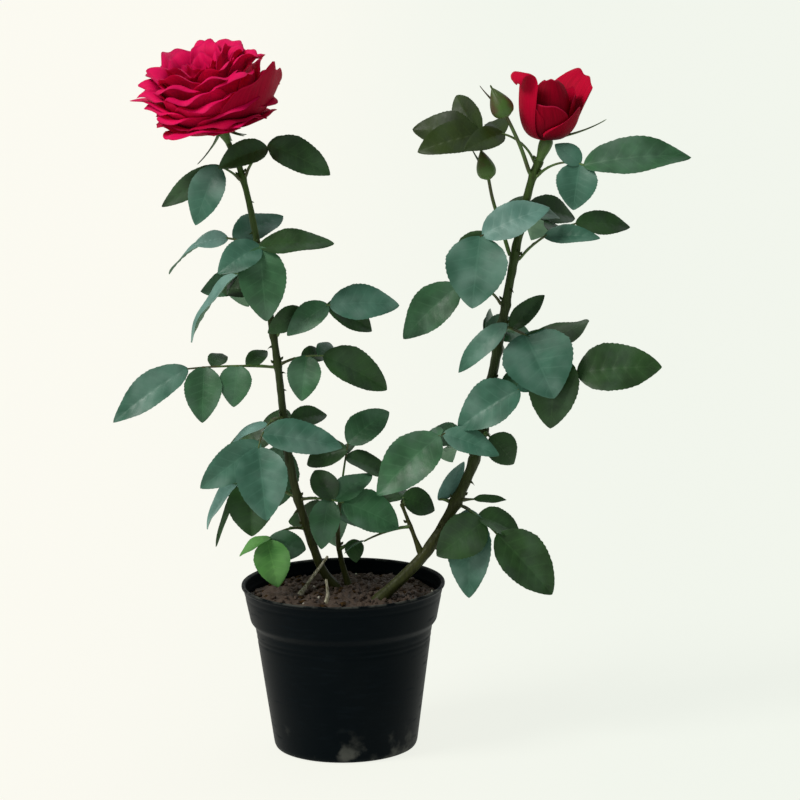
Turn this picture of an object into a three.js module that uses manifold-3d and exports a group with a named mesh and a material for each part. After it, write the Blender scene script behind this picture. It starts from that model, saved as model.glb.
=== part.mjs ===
// Potted rose bush, hybrid tea type, in a round nursery pot.
// Millimetres, +Z up. The origin is the centre of the pot's flat underside.
// A bearing is a compass angle seen from above, 0 along +X and 90 along +Y.
// A rise is an angle above the horizontal. Both are in degrees.

import * as THREE from 'three';
import { mergeVertices } from 'three/addons/utils/BufferGeometryUtils.js';
import Module from 'manifold-3d';

const wasm = await Module();
wasm.setup();

// ---------------------------------------------------------------- sizes

const GAP = 0.3; // clearance between neighbouring solids
const SLACK = 0.02; // added where a stalk is slid to its seat
const REACH_OUT = 2; // where a stalk starts before it is slid in

const POT = {
  height: 124.5,
  rimRadius: 75, // outside of the rolled rim
  bandTop: 73.6, // collar below the rim
  bandFoot: 68.7,
  bandFootHeight: 97,
  bodyTop: 65.3, // straight tapered body
  bodyTopHeight: 92.5,
  bodyFoot: 53,
  footRounding: 4,
  wall: 1.5,
  floor: 2,
  sides: 32,
};

const SOIL = { edgeHeight: 113, mound: 5, seatDepth: 1, seatMargin: 0.9 };

// Each limb is a smooth line of x, y, z points with a radius at foot and tip.
// A limb without a foot height in its first point stands on the soil.
const LIMBS = {
  cane_left: {
    line: [
      [-6, 12], [-19, 8, 141], [-37, -1, 212], [-46, -4, 300], [-60, -3, 393], [-69, 0, 433], [-77, 2, 452],
    ],
    radius: [3.3, 2.1],
    steps: 22,
  },
  cane_right: {
    line: [
      [27, -21], [65, -8, 153], [98, 6, 214], [113, 12, 280], [131, 16, 372], [141, 16, 415], [148, 14, 434],
    ],
    radius: [4.3, 2.9],
    steps: 22,
  },
  shoot_centre: { line: [[4, 16], [0, 14, 132], [-3, 9, 150], [-3, 4, 172]], radius: [2.4, 1.4], steps: 6 },
  twig_dry_back: { line: [[-31, -1], [-24, 1, 126], [-11, 4, 143]], radius: [1.4, 1], steps: 3 },
  twig_dry_front: { line: [[-12, -31], [-11, -31, 123], [-12, -30, 134]], radius: [1.2, 0.9], steps: 3 },
};

const SIDE_SHOOT = {
  on: 'cane_right', height: 147, line: [[53, -9, 160], [47, -7, 176], [44, -6, 184]], radius: [1.7, 1.2],
};

const LEAF = {
  stalkRadius: [1.15, 0.8],
  stalkSteps: 8, // steps of the stalk's line
  stalkSides: 3,
  stalkRings: 3, // rings of the stalk's solid
  stations: 4, // faces along a leaflet
  thickness: 0.8,
  curl: -28, // a leaflet's midrib bends by this from root to tip
  wide: 0.6, // usual width as a share of length
  rootHalf: 0.7,
  sunk: 0.8, // a leaflet starts this far inside its stalk
};

// The blades turn their upper side towards the light.
const LIGHT = new THREE.Vector3(0, -0.78, 0.62).normalize();

// A compound leaf: the limb and height it grows from, its stalk's bearing, rise, reach and bend, and
// its leaflets. A leaflet is [place along the stalk, bearing, rise, length, width share, roll].
const LEAVES = {
  leaf_01: ['cane_left', 428, -25, 69, 31, -40,
    [[1, -22, -15, 50], [0.95, 10, -8, 38], [0.9, -150, -8, 40]]],
  leaf_02: ['cane_left', 427, -162, 48, 20, -30, [[1, -130, -54, 47], [0.9, 180, -33, 54, 0.36, -20]]],
  leaf_03: ['cane_left', 378, -84, 20, 16, -30,
    [[1, -80, -63, 55, 0.68], [0.8, -8, 10, 55, 0.5, -20], [0.9, -146, -16, 38, 0.72]]],
  leaf_04: ['cane_left', 374, 150, 36, 42, -62,
    [[1, 158, -22, 44, 0.6, 45], [0.6, 195, 0, 26], [0.45, 30, 24, 46, 0.6, -10]]],
  leaf_05: ['cane_left', 363, 170, -10, 16, -30, [[1, 174, -41, 64, 0.46, 50], [1, 140, -40, 24, 0.6, 20]]],
  leaf_06: ['cane_left', 311, -12, 65, 49, -70,
    [[1, -5, 8, 52], [0.95, 8, -26, 42], [0.95, -150, -22, 38], [0.55, -140, -20, 32, 0.6, -20]]],
  leaf_07: ['cane_left', 290, -15, 27, 33, -30,
    [[1, -5, -22, 55], [0.6, -106, -62, 34, 0.82], [0.9, 60, 30, 22], [0.5, 30, 5, 26]]],
  leaf_08: ['cane_left', 288, 182, 5, 63, -10,
    [[1, -160, -25, 68, 0.44], [0.8, -95, -58, 42, 0.72], [0.7, 70, 22, 26], [0.42, -98, -48, 32, 0.8],
      [0.3, 40, 30, 24]]],
  leaf_09: ['cane_left', 250, -122, 14, 38, -85,
    [[1, -78, -60, 54, 0.78], [0.7, -6, -5, 60, 0.5], [0.9, -166, -34, 56, 0.5, -20],
      [0.5, 165, -20, 36, 0.6, 40]]],
  leaf_10: ['cane_left', 242, 75, 10, 22, -20, [[1, 85, -2, 42], [0.6, 20, 12, 32], [0.6, 140, 0, 34]]],
  leaf_11: ['cane_left', 190, 165, 28, 44, -38,
    [[1, 165, -42, 46, 0.6, 40], [0.75, -90, -60, 40, 1.0], [0.8, 120, 10, 34], [1, -165, -66, 54, 0.1]]],
  leaf_12: ['cane_left', 166, -150, 14, 31, -50,
    [[1, -62, -60, 36, 0.82], [0.9, -165, -18, 27, 0.65, 40], [0.9, -6, -24, 30, 0.85, 40]]],
  leaf_13: ['cane_left', 187, -25, 10, 34, -20,
    [[1, -12, -16, 46, 0.76], [0.62, -108, -58, 38, 0.66], [0.8, 25, 38, 36, 0.7, -20],
      [0.72, 130, 48, 32, 0.7]]],
  leaf_14: ['shoot_centre', 172, 50, 82, 55, -10,
    [[1, 8, 42, 40, 0.7], [0.8, -8, -16, 38, 0.6, -20], [0.9, 175, -12, 36, 0.66], [0.85, 100, 10, 34]]],
  leaf_15: ['shoot_centre', 148, -30, 35, 12, 0, [[1, -80, -50, 18, 0.85]]],
  leaf_16: ['shoot_side', 183, 90, 50, 6, 0,
    [[1, 5, -18, 28, 0.85], [0.9, 175, -4, 30, 0.6, 30], [0.8, 80, 5, 36, 0.6, 16]]],
  leaf_17: ['shoot_side', 168, 180, -8, 34, -20, [[1, 188, -14, 18, 0.5, 60]]],
  leaf_18: ['cane_right', 432, 178, 70, 52, -92,
    [[1, 178, 14, 48, 0.7], [0.9, -162, -6, 50, 0.62], [0.92, 140, 44, 40, 0.7, -40],
      [0.6, -140, -6, 36], [0.6, 110, 20, 32]]],
  leaf_19: ['cane_right', 424, -30, 46, 42, -62,
    [[1, -10, 14, 80, 0.42], [0.9, -110, -62, 35, 0.95], [0.9, 172, 44, 24, 0.75]]],
  leaf_20: ['cane_right', 362, 8, 50, 50, -40,
    [[1, 10, 0, 44, 0.5], [0.5, -24, 8, 42, 0.42], [0.6, 70, 10, 36]]],
  leaf_21: ['cane_right', 382, -155, 15, 29, -40,
    [[1, -104, -56, 54, 0.9], [0.9, -12, 31, 54, 0.56], [0.8, 172, -50, 46]]],
  leaf_22: ['cane_right', 328, 175, 62, 36, -80, [[1, -160, -33, 57], [0.6, 110, 10, 38]]],
  leaf_23: ['cane_right', 312, -12, -20, 62, -25,
    [[1, -8, 10, 63, 0.68], [0.66, -104, -66, 56, 0.74], [0.22, -56, -44, 54, 1.1],
      [0.25, 18, -4, 58, 0.5, 68], [0.05, 12, 46, 36, 0.5]]],
  leaf_24: ['cane_right', 272, -40, 10, 22, -40,
    [[1, -168, -24, 54, 0.74], [0.95, 20, 10, 20], [0.3, 10, 12, 26]]],
  leaf_25: ['cane_right', 236, -150, 12, 34, -30,
    [[1, -150, -30, 64, 0.62], [0.85, -18, -14, 44, 0.52], [1, 100, 25, 16]]],
  leaf_26: ['cane_right', 183, -30, -22, 36, -20,
    [[1, -18, -42, 61, 0.7], [0.2, -92, -72, 66, 0.56], [0.6, -152, -28, 44, 0.8, -20],
      [0.45, 0, -16, 38, 0.74, -20], [0.8, 60, -25, 30, 0.6, -20]]],
  leaf_27: ['cane_right', 182, 170, 20, 8, -20, [[1, 20, 46, 36, 0.42, 40]]],
  leaf_28: ['cane_right', 187, 10, 0, 8, 0, [[1, 10, 0, 26, 0.3]]],
  leaf_35: ['cane_right', 312, -78, 20, 11, 0, [[1, -166, -36, 52, 0.36]]],
  leaf_36: ['cane_right', 234, -62, -12, 8, 0, [[1, -15, -42, 28, 0.95]]],
  // the far side of the bush
  leaf_29: ['cane_left', 335, 110, 35, 40, -40,
    [[1, 100, -20, 56], [0.8, 55, 15, 36], [0.8, 170, -5, 44], [0.4, 166, 5, 34]]],
  leaf_30: ['cane_left', 218, 110, 30, 44, -40,
    [[1, 70, -25, 54], [0.8, 60, -10, 38], [0.8, 165, -5, 42], [0.35, 180, -80, 52, 0.7]]],
  leaf_31: ['cane_right', 386, 80, 30, 42, -50,
    [[1, 80, -25, 56], [0.8, 15, -5, 44], [0.55, 116, 12, 36], [0.4, 20, 0, 32, 0.6, -20]]],
  leaf_32: ['cane_right', 294, 100, 30, 46, -45,
    [[1, 60, -25, 60], [0.8, 30, -5, 46], [0.8, 70, 5, 42, 0.6, 40], [0.4, 60, 10, 34, 0.6, -40]]],
  leaf_33: ['cane_right', 214, 100, 25, 44, -40,
    [[1, 105, -20, 52], [0.7, 38, -6, 36], [0.8, 150, 10, 40], [0.4, 125, 0, 34, 0.6, 20]]],
  leaf_34: ['shoot_centre', 160, 95, 20, 46, -30,
    [[1, 95, -25, 56], [0.8, 25, -8, 42], [0.8, 160, -8, 42]]],
};

// A petal leaves the flower's axis at one angle and ends at another, both from the axis.
// A ring is [petals, length, width, root angle, tip angle, first bearing, root thickness, widest turn].
// A sepal is [bearing, length, rise]. Petals are thick at the root, where they close up to the
// heart of the flower, and thin at the rim.
const OPEN_BLOOM = {
  on: 'cane_left',
  lean: [-160, 71], // bearing and rise of the flower's axis
  neck: 12.5, // from the tip of the cane to the petals' roots
  hip: 4.2,
  rings: [
    [5, 68, 62, 86, 26, 20, 12, 33],
  ],
  heart: [[4, 0], [26, 5], [40, 19], [45, 35], [41, 50], [27, 57], [8, 48]],
  lobes: 0.07,
  ruffle: 2.4,
  sepals: [[-172, 32, -44], [-20, 18, -52], [28, 20, -48], [85, 26, -40], [140, 28, -40]],
};

const PETAL = { stations: 4, rim: 1.6, notch: 0.12, narrow: 0.3 }; // shared by both flowers

const HALF_BLOOM = {
  on: 'cane_right',
  lean: [20, 86],
  neck: 17,
  hip: 5,
  rings: [
    [1, 60, 26, 58, -10, -160, 14, 50],
    [1, 60, 38, 66, 22, 36, 14, 50],
    [1, 46, 34, 60, -8, 96, 14, 44],
  ],
  heart: [[4, 0], [15, 4], [19.5, 14], [19, 25], [14, 34], [8, 40], [3, 43]],
  lobes: 0.03,
  ruffle: 0.6,
  sepals: [[2, 46, 8], [-18, 24, 26], [60, 26, 4], [110, 26, -10], [165, 14, -40]],
};

// A bud: the limb and height it grows from, its stalk, its own bearing and rise, its length and half width.
const BUDS = {
  bud_upper: {
    on: 'cane_right', height: 424, line: [[135, 8, 443], [129, 1, 458], [124, -2, 469]], radius: [1.4, 1.3],
    lean: [176, 64], size: [24, 9.2],
  },
  bud_lower: {
    on: 'cane_right', height: 364, line: [[120, 19, 384], [114, 21, 404], [111, 21, 420]], radius: [1.4, 1.2],
    lean: [185, 76], size: [22.5, 7.6],
  },
};

const BUD_OUTLINE = [0, 0.4, 0.8, 1, 0.92, 0.66, 0.34, 0.14]; // its half width at even steps

// ---------------------------------------------------------------- materials

const finish = (color, roughness) => new THREE.MeshStandardMaterial({ color, roughness, metalness: 0 });
const BLACK_PLASTIC = finish(0x14181b, 0.55);
const POTTING_MIX = finish(0x2a1d15, 0.95);
const GREEN_BARK = finish(0x33421f, 0.7);
const DRY_WOOD = finish(0x9a9482, 0.9);
const LEAF_GREEN = finish(0x2f5540, 0.5);
const YOUNG_GREEN = finish(0x4a9a45, 0.5);
const CRIMSON = finish(0xc21048, 0.6);
const DARK_CRIMSON = finish(0xa00428, 0.6);
const BUD_GREEN = finish(0x3f6030, 0.6);

// ---------------------------------------------------------------- helpers

const rad = THREE.MathUtils.degToRad;
const point = (p) => new THREE.Vector3(...p);

/** Unit vector of a bearing and a rise. */
function aim(bearing, rise) {
  const flat = Math.cos(rad(rise));
  return new THREE.Vector3(Math.cos(rad(bearing)) * flat, Math.sin(rad(bearing)) * flat, Math.sin(rad(rise)));
}

/** A closed three.js geometry as a solid, its shared corners merged and its empty faces dropped. */
function solid(geometry) {
  const bare = geometry.clone();
  bare.deleteAttribute('normal');
  bare.deleteAttribute('uv');
  const merged = mergeVertices(bare, 1e-4);
  const corners = Array.from(merged.index.array);
  const faces = [];
  for (let i = 0; i < corners.length; i += 3) {
    const [a, b, c] = corners.slice(i, i + 3);
    if (a !== b && b !== c && c !== a) faces.push(a, b, c);
  }
  return new wasm.Manifold(new wasm.Mesh({
    numProp: 3,
    vertProperties: new Float32Array(merged.attributes.position.array),
    triVerts: new Uint32Array(faces),
  }));
}

/** A solid as a three.js mesh. */
function meshOf(name, body, material) {
  const shell = body.getMesh();
  const geometry = new THREE.BufferGeometry();
  geometry.setAttribute('position', new THREE.BufferAttribute(shell.vertProperties, 3));
  geometry.setIndex(new THREE.BufferAttribute(shell.triVerts, 1));
  geometry.computeVertexNormals();
  const mesh = new THREE.Mesh(geometry, material);
  mesh.name = name;
  return mesh;
}

/** The largest part of a joined solid: sealed hollows are filled and loose scraps dropped. */
function oneBody(body) {
  return body.decompose().reduce((largest, part) => (part.volume() > largest.volume() ? part : largest));
}

/** Moves every corner of a geometry to where place(x, y, z) says. */
function shaped(geometry, place) {
  const position = geometry.attributes.position;
  for (let i = 0; i < position.count; i += 1) {
    const p = place(position.getX(i), position.getY(i), position.getZ(i));
    position.setXYZ(i, p.x, p.y, p.z);
  }
  return geometry;
}

/** A lathe about Z from [radius, height] pairs that start and end on the axis. */
function turned(profile, sides) {
  const points = profile.map(([r, z]) => new THREE.Vector2(r, z));
  return new THREE.LatheGeometry(points, sides).rotateX(Math.PI / 2);
}

/** A tapered round limb along a curve, with flat ends. Its foot is level where level is given. */
function limb(curve, [foot, tip], sides, steps, level = null) {
  const { tangents, normals, binormals } = curve.computeFrenetFrames(steps, false);
  const cylinder = new THREE.CylinderGeometry(1, 1, 1, sides, steps);
  return shaped(cylinder, (x, y, z) => {
    const ring = Math.round((y + 0.5) * steps);
    const radius = foot + (tip - foot) * (ring / steps);
    const p = curve.getPointAt(ring / steps);
    p.addScaledVector(normals[ring], x * radius).addScaledVector(binormals[ring], -z * radius);
    if (ring === 0 && level !== null) p.addScaledVector(tangents[0], (level - p.z) / tangents[0].z);
    return p;
  });
}

const smooth = (points) => new THREE.CatmullRomCurve3(points, false, 'catmullrom', 0.5);

/** Place, direction and radius of a limb at a height. */
function onLimb({ curve, radius }, height) {
  let [low, high] = [0, 1];
  for (let i = 0; i < 24; i += 1) {
    const middle = (low + high) / 2;
    if (curve.getPoint(middle).z < height) low = middle;
    else high = middle;
  }
  const here = radius[0] + (radius[1] - radius[0]) * low;
  return { at: curve.getPoint(low), along: curve.getTangent(low), radius: here };
}

/** First point of a side stalk, slid along the limb's outward direction until its end seats at the gap. */
function stalkRoot(on, height, heading, stalkAt) {
  const { at, along, radius } = onLimb(limbs[on], height);
  const outward = heading.clone().addScaledVector(along, -heading.dot(along)).normalize();
  const root = at.addScaledVector(outward, radius + REACH_OUT);
  const apart = bodies.get(on).body.minGap(stalkAt(root), 2 * REACH_OUT);
  return root.addScaledVector(outward, GAP + SLACK - apart);
}

/** A blade from a box: along its midrib, across, and through its thickness. halfAt gives its half width. */
function blade({ at, heading, normal, length, halfAt, curl, thickness, stations }) {
  const side = normal.clone().cross(heading);
  const bend = rad(curl);
  return shaped(new THREE.BoxGeometry(1, 1, 1, stations, 1, 1), (x, y, z) => {
    const u = x + 0.5;
    const angle = bend * u;
    const up = normal.clone().multiplyScalar(Math.cos(angle)).addScaledVector(heading, -Math.sin(angle));
    return at.clone()
      .addScaledVector(heading, (length * Math.sin(angle)) / bend)
      .addScaledVector(normal, (length * (1 - Math.cos(angle))) / bend)
      .addScaledVector(side, 2 * y * halfAt(u))
      .addScaledVector(up, z * thickness);
  });
}

// ---------------------------------------------------------------- pot and soil

/** The pot's outline: underside, body, collar, rim and back down the inside. */
function potProfile() {
  const { height, rimRadius, bandTop, bandFoot, bandFootHeight, bodyTop, bodyTopHeight } = POT;
  const { bodyFoot, footRounding, wall, floor } = POT;
  const bevel = 0.3 * footRounding;
  const underside = [[0, 0], [bodyFoot - footRounding, 0], [bodyFoot - bevel, bevel]];
  const outside = [[bodyFoot, footRounding], [bodyTop, bodyTopHeight], [bandFoot, bandFootHeight]];
  const rim = [
    [bandTop, height - 3.2], [rimRadius, height - 2.4], [rimRadius, height - 0.6], [rimRadius - 0.8, height],
    [bandTop - wall, height - 0.8],
  ];
  const inside = [
    [bandFoot - wall, bandFootHeight + 0.6], [bodyTop - wall, bodyTopHeight + 0.4],
    [bodyFoot - wall, footRounding], [bodyFoot - wall - 1.5, floor], [0, floor],
  ];
  return [...underside, ...outside, ...rim, ...inside];
}

const soilTop = (r) => SOIL.edgeHeight + SOIL.mound * (1 - (r / soilEdge) ** 2);
const bandSlope = (POT.bandTop - POT.bandFoot) / (POT.height - 3.2 - POT.bandFootHeight);
const soilEdge = POT.bandFoot - POT.wall - 2 * GAP + (SOIL.edgeHeight - POT.bandFootHeight) * bandSlope;

/** The potting mix: it fills the pot, mounds a little, and has a level seat under each limb. */
function soilBody(feet) {
  const shrink = POT.wall + 2 * GAP;
  const mound = [1, 0.8, 0.55, 0.25, 0].map((share) => [share * soilEdge, soilTop(share * soilEdge)]);
  const profile = [
    [0, POT.floor + GAP], [POT.bodyFoot - shrink - 1.6, POT.floor + GAP],
    [POT.bodyFoot - shrink, POT.footRounding + 1], [POT.bodyTop - shrink, POT.bodyTopHeight],
    [POT.bandFoot - shrink, POT.bandFootHeight + 1.5], ...mound,
  ];
  let body = solid(turned(profile, POT.sides));
  for (const { x, y, foot, radius } of feet) {
    const seat = new THREE.CylinderGeometry(radius, radius, 10, 12).rotateX(Math.PI / 2);
    body = body.subtract(solid(seat.translate(x, y, foot - GAP + 5)));
  }
  return body;
}

// ---------------------------------------------------------------- limbs

const limbs = {};
const feet = [];
const bodies = new Map(); // node name to its solid and material

for (const [name, { line, radius, steps }] of Object.entries(LIMBS)) {
  const [[x, y], ...above] = line;
  const foot = soilTop(Math.hypot(x, y)) - SOIL.seatDepth + GAP;
  const curve = smooth([point([x, y, foot]), ...above.map(point)]);
  const slant = 1 / curve.getTangent(0).z;
  feet.push({ x, y, foot, radius: radius[0] * slant + SOIL.seatMargin });
  limbs[name] = { curve, radius };
  const material = name.startsWith('twig') ? DRY_WOOD : GREEN_BARK;
  bodies.set(name, { body: solid(limb(curve, radius, 8, steps, foot)), material });
}

/** The curve of a side stalk that leaves a limb and runs through the given points. */
function sideCurve({ on, height, line, radius }, sides, steps) {
  const points = line.map(point);
  const heading = points[0].clone().sub(onLimb(limbs[on], height).at).normalize();
  const curveFrom = (root) => smooth([root, ...points]);
  const stalkAt = (root) => solid(limb(curveFrom(root), radius, sides, steps));
  return curveFrom(stalkRoot(on, height, heading, stalkAt));
}

const shootCurve = sideCurve(SIDE_SHOOT, 7, 5);
limbs.shoot_side = { curve: shootCurve, radius: SIDE_SHOOT.radius };
bodies.set('shoot_side', { body: solid(limb(shootCurve, SIDE_SHOOT.radius, 7, 5)), material: GREEN_BARK });

const potBody = solid(turned(potProfile(), POT.sides));
bodies.set('pot', { body: potBody, material: BLACK_PLASTIC });
bodies.set('soil', { body: soilBody(feet), material: POTTING_MIX });

// ---------------------------------------------------------------- blooms and buds

/** Two directions square to an axis. The first points to bearing 0. */
function crossAxes(axis) {
  const first = new THREE.Vector3(1, 0, 0).addScaledVector(axis, -axis.x).normalize();
  return [first, axis.clone().cross(first)];
}

/** The direction an angle on from one direction towards another that is square to it. */
function turnedTo(from, to, angle) {
  return from.clone().multiplyScalar(Math.cos(rad(angle))).addScaledVector(to, Math.sin(rad(angle)));
}

/** A small leaf-like sepal under a flower or round a bud. */
function sepal(at, axis, bearing, rise, length) {
  const [first, second] = crossAxes(axis);
  const outward = turnedTo(first, second, bearing);
  const heading = turnedTo(outward, axis, rise);
  const normal = turnedTo(axis, outward, -rise);
  const halfAt = (u) => 0.5 + 2.2 * Math.sin(Math.PI * Math.min(1, 0.3 + 0.7 * u)) * (1 - u * u);
  return solid(blade({ at, heading, normal, length, halfAt, curl: 25, thickness: 1, stations: 4 }));
}

/** One petal from a box. Its line opens from the root angle to the tip angle as it climbs. */
function petal(at, axis, ring, bearing, ruffle) {
  const [, length, width, rootAngle, tipAngle, , rootThickness, widest] = ring;
  const [first, second] = crossAxes(axis);
  const { stations, rim, notch, narrow } = PETAL;
  const line = [[1, 0]];
  for (let i = 0; i < stations; i += 1) {
    const angle = rad(rootAngle + ((tipAngle - rootAngle) * (i + 0.5)) / stations);
    const [r, h] = line[i];
    line.push([r + (Math.sin(angle) * length) / stations, h + (Math.cos(angle) * length) / stations]);
  }
  return solid(shaped(new THREE.BoxGeometry(1, 1, 1, stations, 3, 1), (x, y, z) => {
    const u = x + 0.5;
    const v = 2 * y;
    const [r, h] = line[Math.round(u * stations)];
    const lean = rad(rootAngle + (tipAngle - rootAngle) * u);
    const half = (width / 2) * (narrow + (1 - narrow) * Math.sin((Math.PI / 2) * Math.min(1, 1.3 * u)));
    const depth = (z - 0.5) * (rim + (rootThickness - rim) * (1 - u));
    const wave = ruffle * u ** 3 * Math.sin(3.4 * v + 0.04 * bearing);
    const out = r + depth * Math.cos(lean) + wave;
    const turn = rad(bearing) - v * Math.min(half / r, rad(widest));
    const height = h - notch * length * u ** 3 * v * v - depth * Math.sin(lean);
    return at.clone()
      .addScaledVector(axis, height)
      .addScaledVector(first, out * Math.cos(turn))
      .addScaledVector(second, out * Math.sin(turn));
  }));
}

/** A lathe of [radius, height] pairs about an axis through a point. Lobes, five a turn, twist up round it. */
function turnedAbout(at, axis, profile, sides, lobes = 0) {
  const turn = new THREE.Quaternion().setFromUnitVectors(new THREE.Vector3(0, 0, 1), axis);
  const wavy = shaped(turned(profile, sides), (x, y, z) => {
    const swell = 1 + lobes * Math.sin(5 * Math.atan2(y, x) + 0.12 * z);
    return new THREE.Vector3(x * swell, y * swell, z);
  });
  return solid(wavy.applyQuaternion(turn).translate(at.x, at.y, at.z));
}

/** A flower: hip, heart, outer petals and sepals in one body. */
function bloomBody({ on, lean, neck, hip, rings, heart, ruffle, sepals, lobes }) {
  const { curve, radius } = limbs[on];
  const tip = curve.getPoint(1);
  const along = curve.getTangent(1);
  const root = tip.clone().addScaledVector(along, GAP);
  const hipProfile = [
    [0, 0], [radius[1], 0], [radius[1] * 1.1, neck * 0.2], [hip, neck * 0.65], [hip, neck * 1.15],
    [0, neck * 1.15],
  ];
  let body = turnedAbout(root, along, hipProfile, 10);
  const head = root.clone().addScaledVector(along, neck);
  const axis = aim(...lean);
  const heartProfile = [[0, heart[0][1]], ...heart, [0, heart[heart.length - 1][1] - 1]];
  body = body.add(turnedAbout(head, axis, heartProfile, 18, lobes));
  for (const ring of rings) {
    for (let i = 0; i < ring[0]; i += 1) {
      const bearing = ring[5] + (360 / ring[0]) * i;
      body = body.add(petal(head, axis, ring, bearing, ruffle));
    }
  }
  for (const [bearing, length, rise] of sepals) {
    body = body.add(sepal(head.clone().addScaledVector(along, -1), along, bearing, rise, length));
  }
  return oneBody(body);
}

bodies.set('bloom_open', { body: bloomBody(OPEN_BLOOM), material: CRIMSON });
bodies.set('bloom_half_open', { body: bloomBody(HALF_BLOOM), material: DARK_CRIMSON });

for (const [name, bud] of Object.entries(BUDS)) {
  const { lean, radius, size: [length, girth] } = bud;
  const curve = sideCurve(bud, 6, 5);
  const at = curve.getPoint(1);
  const egg = BUD_OUTLINE.map((share, i) => [share * girth, (length * i) / BUD_OUTLINE.length - 1]);
  let body = solid(limb(curve, radius, 6, 5));
  body = body.add(turnedAbout(at, aim(...lean), [...egg, [0, length]], 10));
  body = body.add(sepal(at, aim(...lean), 150, 66, length * 1.15));
  bodies.set(name, { body, material: BUD_GREEN });
}

// ---------------------------------------------------------------- leaves

/** The points of a leaf stalk, which bends as it goes. */
function stalkLine(root, bearing, rise, reach, bend) {
  const points = [root.clone()];
  for (let i = 0; i < LEAF.stalkSteps; i += 1) {
    const share = (i + 0.5) / LEAF.stalkSteps;
    const step = aim(bearing, rise + bend * share).multiplyScalar(reach / LEAF.stalkSteps);
    points.push(points[i].clone().add(step));
  }
  return points;
}

/** Half the width of a leaflet: widest a little below its middle, narrow at both ends. */
function leafletHalf(length, wide, u) {
  const outline = Math.max(0, Math.sin(Math.PI * u ** 0.82)) ** 0.75 * (1 - 0.12 * u);
  return Math.max(LEAF.rootHalf * (1 - u), (length * wide * outline) / 2);
}

/** One leaflet, its upper side turned to the light and then rolled about its midrib. */
function leaflet(stalkAt, [, bearing, rise, length, wide = LEAF.wide, roll = 0]) {
  const heading = aim(bearing, rise);
  const at = stalkAt.clone().addScaledVector(heading, -LEAF.sunk);
  const normal = LIGHT.clone().addScaledVector(heading, -LIGHT.dot(heading)).normalize();
  normal.applyAxisAngle(heading, rad(roll));
  const halfAt = (u) => leafletHalf(length, wide, u);
  const { curl, thickness, stations } = LEAF;
  return solid(blade({ at, heading, normal, length, halfAt, curl, thickness, stations }));
}

/** Whether a body keeps the gap to every node so far. */
function clears(body) {
  return [...bodies.values()].every((other) => other.body.minGap(body, GAP) >= GAP);
}

for (const [name, [on, height, bearing, rise, reach, bend, leaflets]] of Object.entries(LEAVES)) {
  const curveFrom = (root) => smooth(stalkLine(root, bearing, rise, reach, bend));
  const { stalkRadius, stalkSides, stalkRings } = LEAF;
  const stalkFrom = (at) => solid(limb(curveFrom(at), stalkRadius, stalkSides, stalkRings));
  const root = stalkRoot(on, height, aim(bearing, rise), stalkFrom);
  const curve = curveFrom(root);
  let body = stalkFrom(root);
  for (const spec of leaflets) {
    const blades = leaflet(curve.getPoint(spec[0]), spec);
    if (clears(blades)) body = body.add(blades);
  }
  bodies.set(name, { body, material: name === 'leaf_12' ? YOUNG_GREEN : LEAF_GREEN });
}

// ---------------------------------------------------------------- scene

const roseBush = new THREE.Group();
for (const [name, { body, material }] of bodies) roseBush.add(meshOf(name, body, material));

export default roseBush;
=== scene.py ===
"""Looks of a potted rose bush: pot, potting mix, canes, leaves, an open and a half-open bloom, and buds.

Lengths are worked out in millimetres, +Z up, in the model's own frame, and become metres when a mesh is
made. A bearing is a compass angle seen from above, 0 along +X and 90 along +Y. A rise is an angle above the
horizontal. Both are in degrees. A share runs from 0 to 1.
"""

import logging
import math
from dataclasses import dataclass, field
from enum import Enum

import bpy
import numpy as np
from mathutils import Matrix
from numpy.typing import NDArray


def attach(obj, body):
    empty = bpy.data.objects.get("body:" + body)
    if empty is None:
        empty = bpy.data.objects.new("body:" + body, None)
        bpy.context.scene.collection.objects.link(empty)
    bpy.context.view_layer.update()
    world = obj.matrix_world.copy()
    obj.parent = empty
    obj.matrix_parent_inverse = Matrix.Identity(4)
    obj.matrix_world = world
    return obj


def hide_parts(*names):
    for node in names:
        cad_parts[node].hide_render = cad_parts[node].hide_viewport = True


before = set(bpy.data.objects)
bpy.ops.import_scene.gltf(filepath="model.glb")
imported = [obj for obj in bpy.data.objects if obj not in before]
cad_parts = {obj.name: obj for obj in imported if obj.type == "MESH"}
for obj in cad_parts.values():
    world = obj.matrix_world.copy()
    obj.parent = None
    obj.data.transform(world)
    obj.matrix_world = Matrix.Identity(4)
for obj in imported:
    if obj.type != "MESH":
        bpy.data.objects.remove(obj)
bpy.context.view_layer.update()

Array = NDArray[np.float64]
Whole = NDArray[np.int64]
Socket = bpy.types.NodeSocket

MM = 0.001  # metres in a millimetre
BODY = "root"
SEAT = 0.6  # mean distance of a stalk's first point from the bark
SIDE_VEINS = 7.5  # pairs of side veins on a leaflet
MAP_MARGIN = 0.04  # free border of a patch's cell in its piece's map, as a share of the cell
SHARP = 62.0  # degrees that two faces turn by where their shared edge stays sharp
UP = np.array([0.0, 0.0, 1.0])
LOG = logging.getLogger("rose_bush")


# ---------------------------------------------------------------- directions and lines


def unit(vectors: Array) -> Array:
    """Vectors scaled to length one along their last axis."""
    return vectors / np.linalg.norm(vectors, axis=-1, keepdims=True)


def aim(bearing: float, rise: float) -> Array:
    """Unit vector of a bearing and a rise in degrees."""
    turn, climb = math.radians(bearing), math.radians(rise)
    return np.array([math.cos(turn) * math.cos(climb), math.sin(turn) * math.cos(climb), math.sin(climb)])


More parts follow.
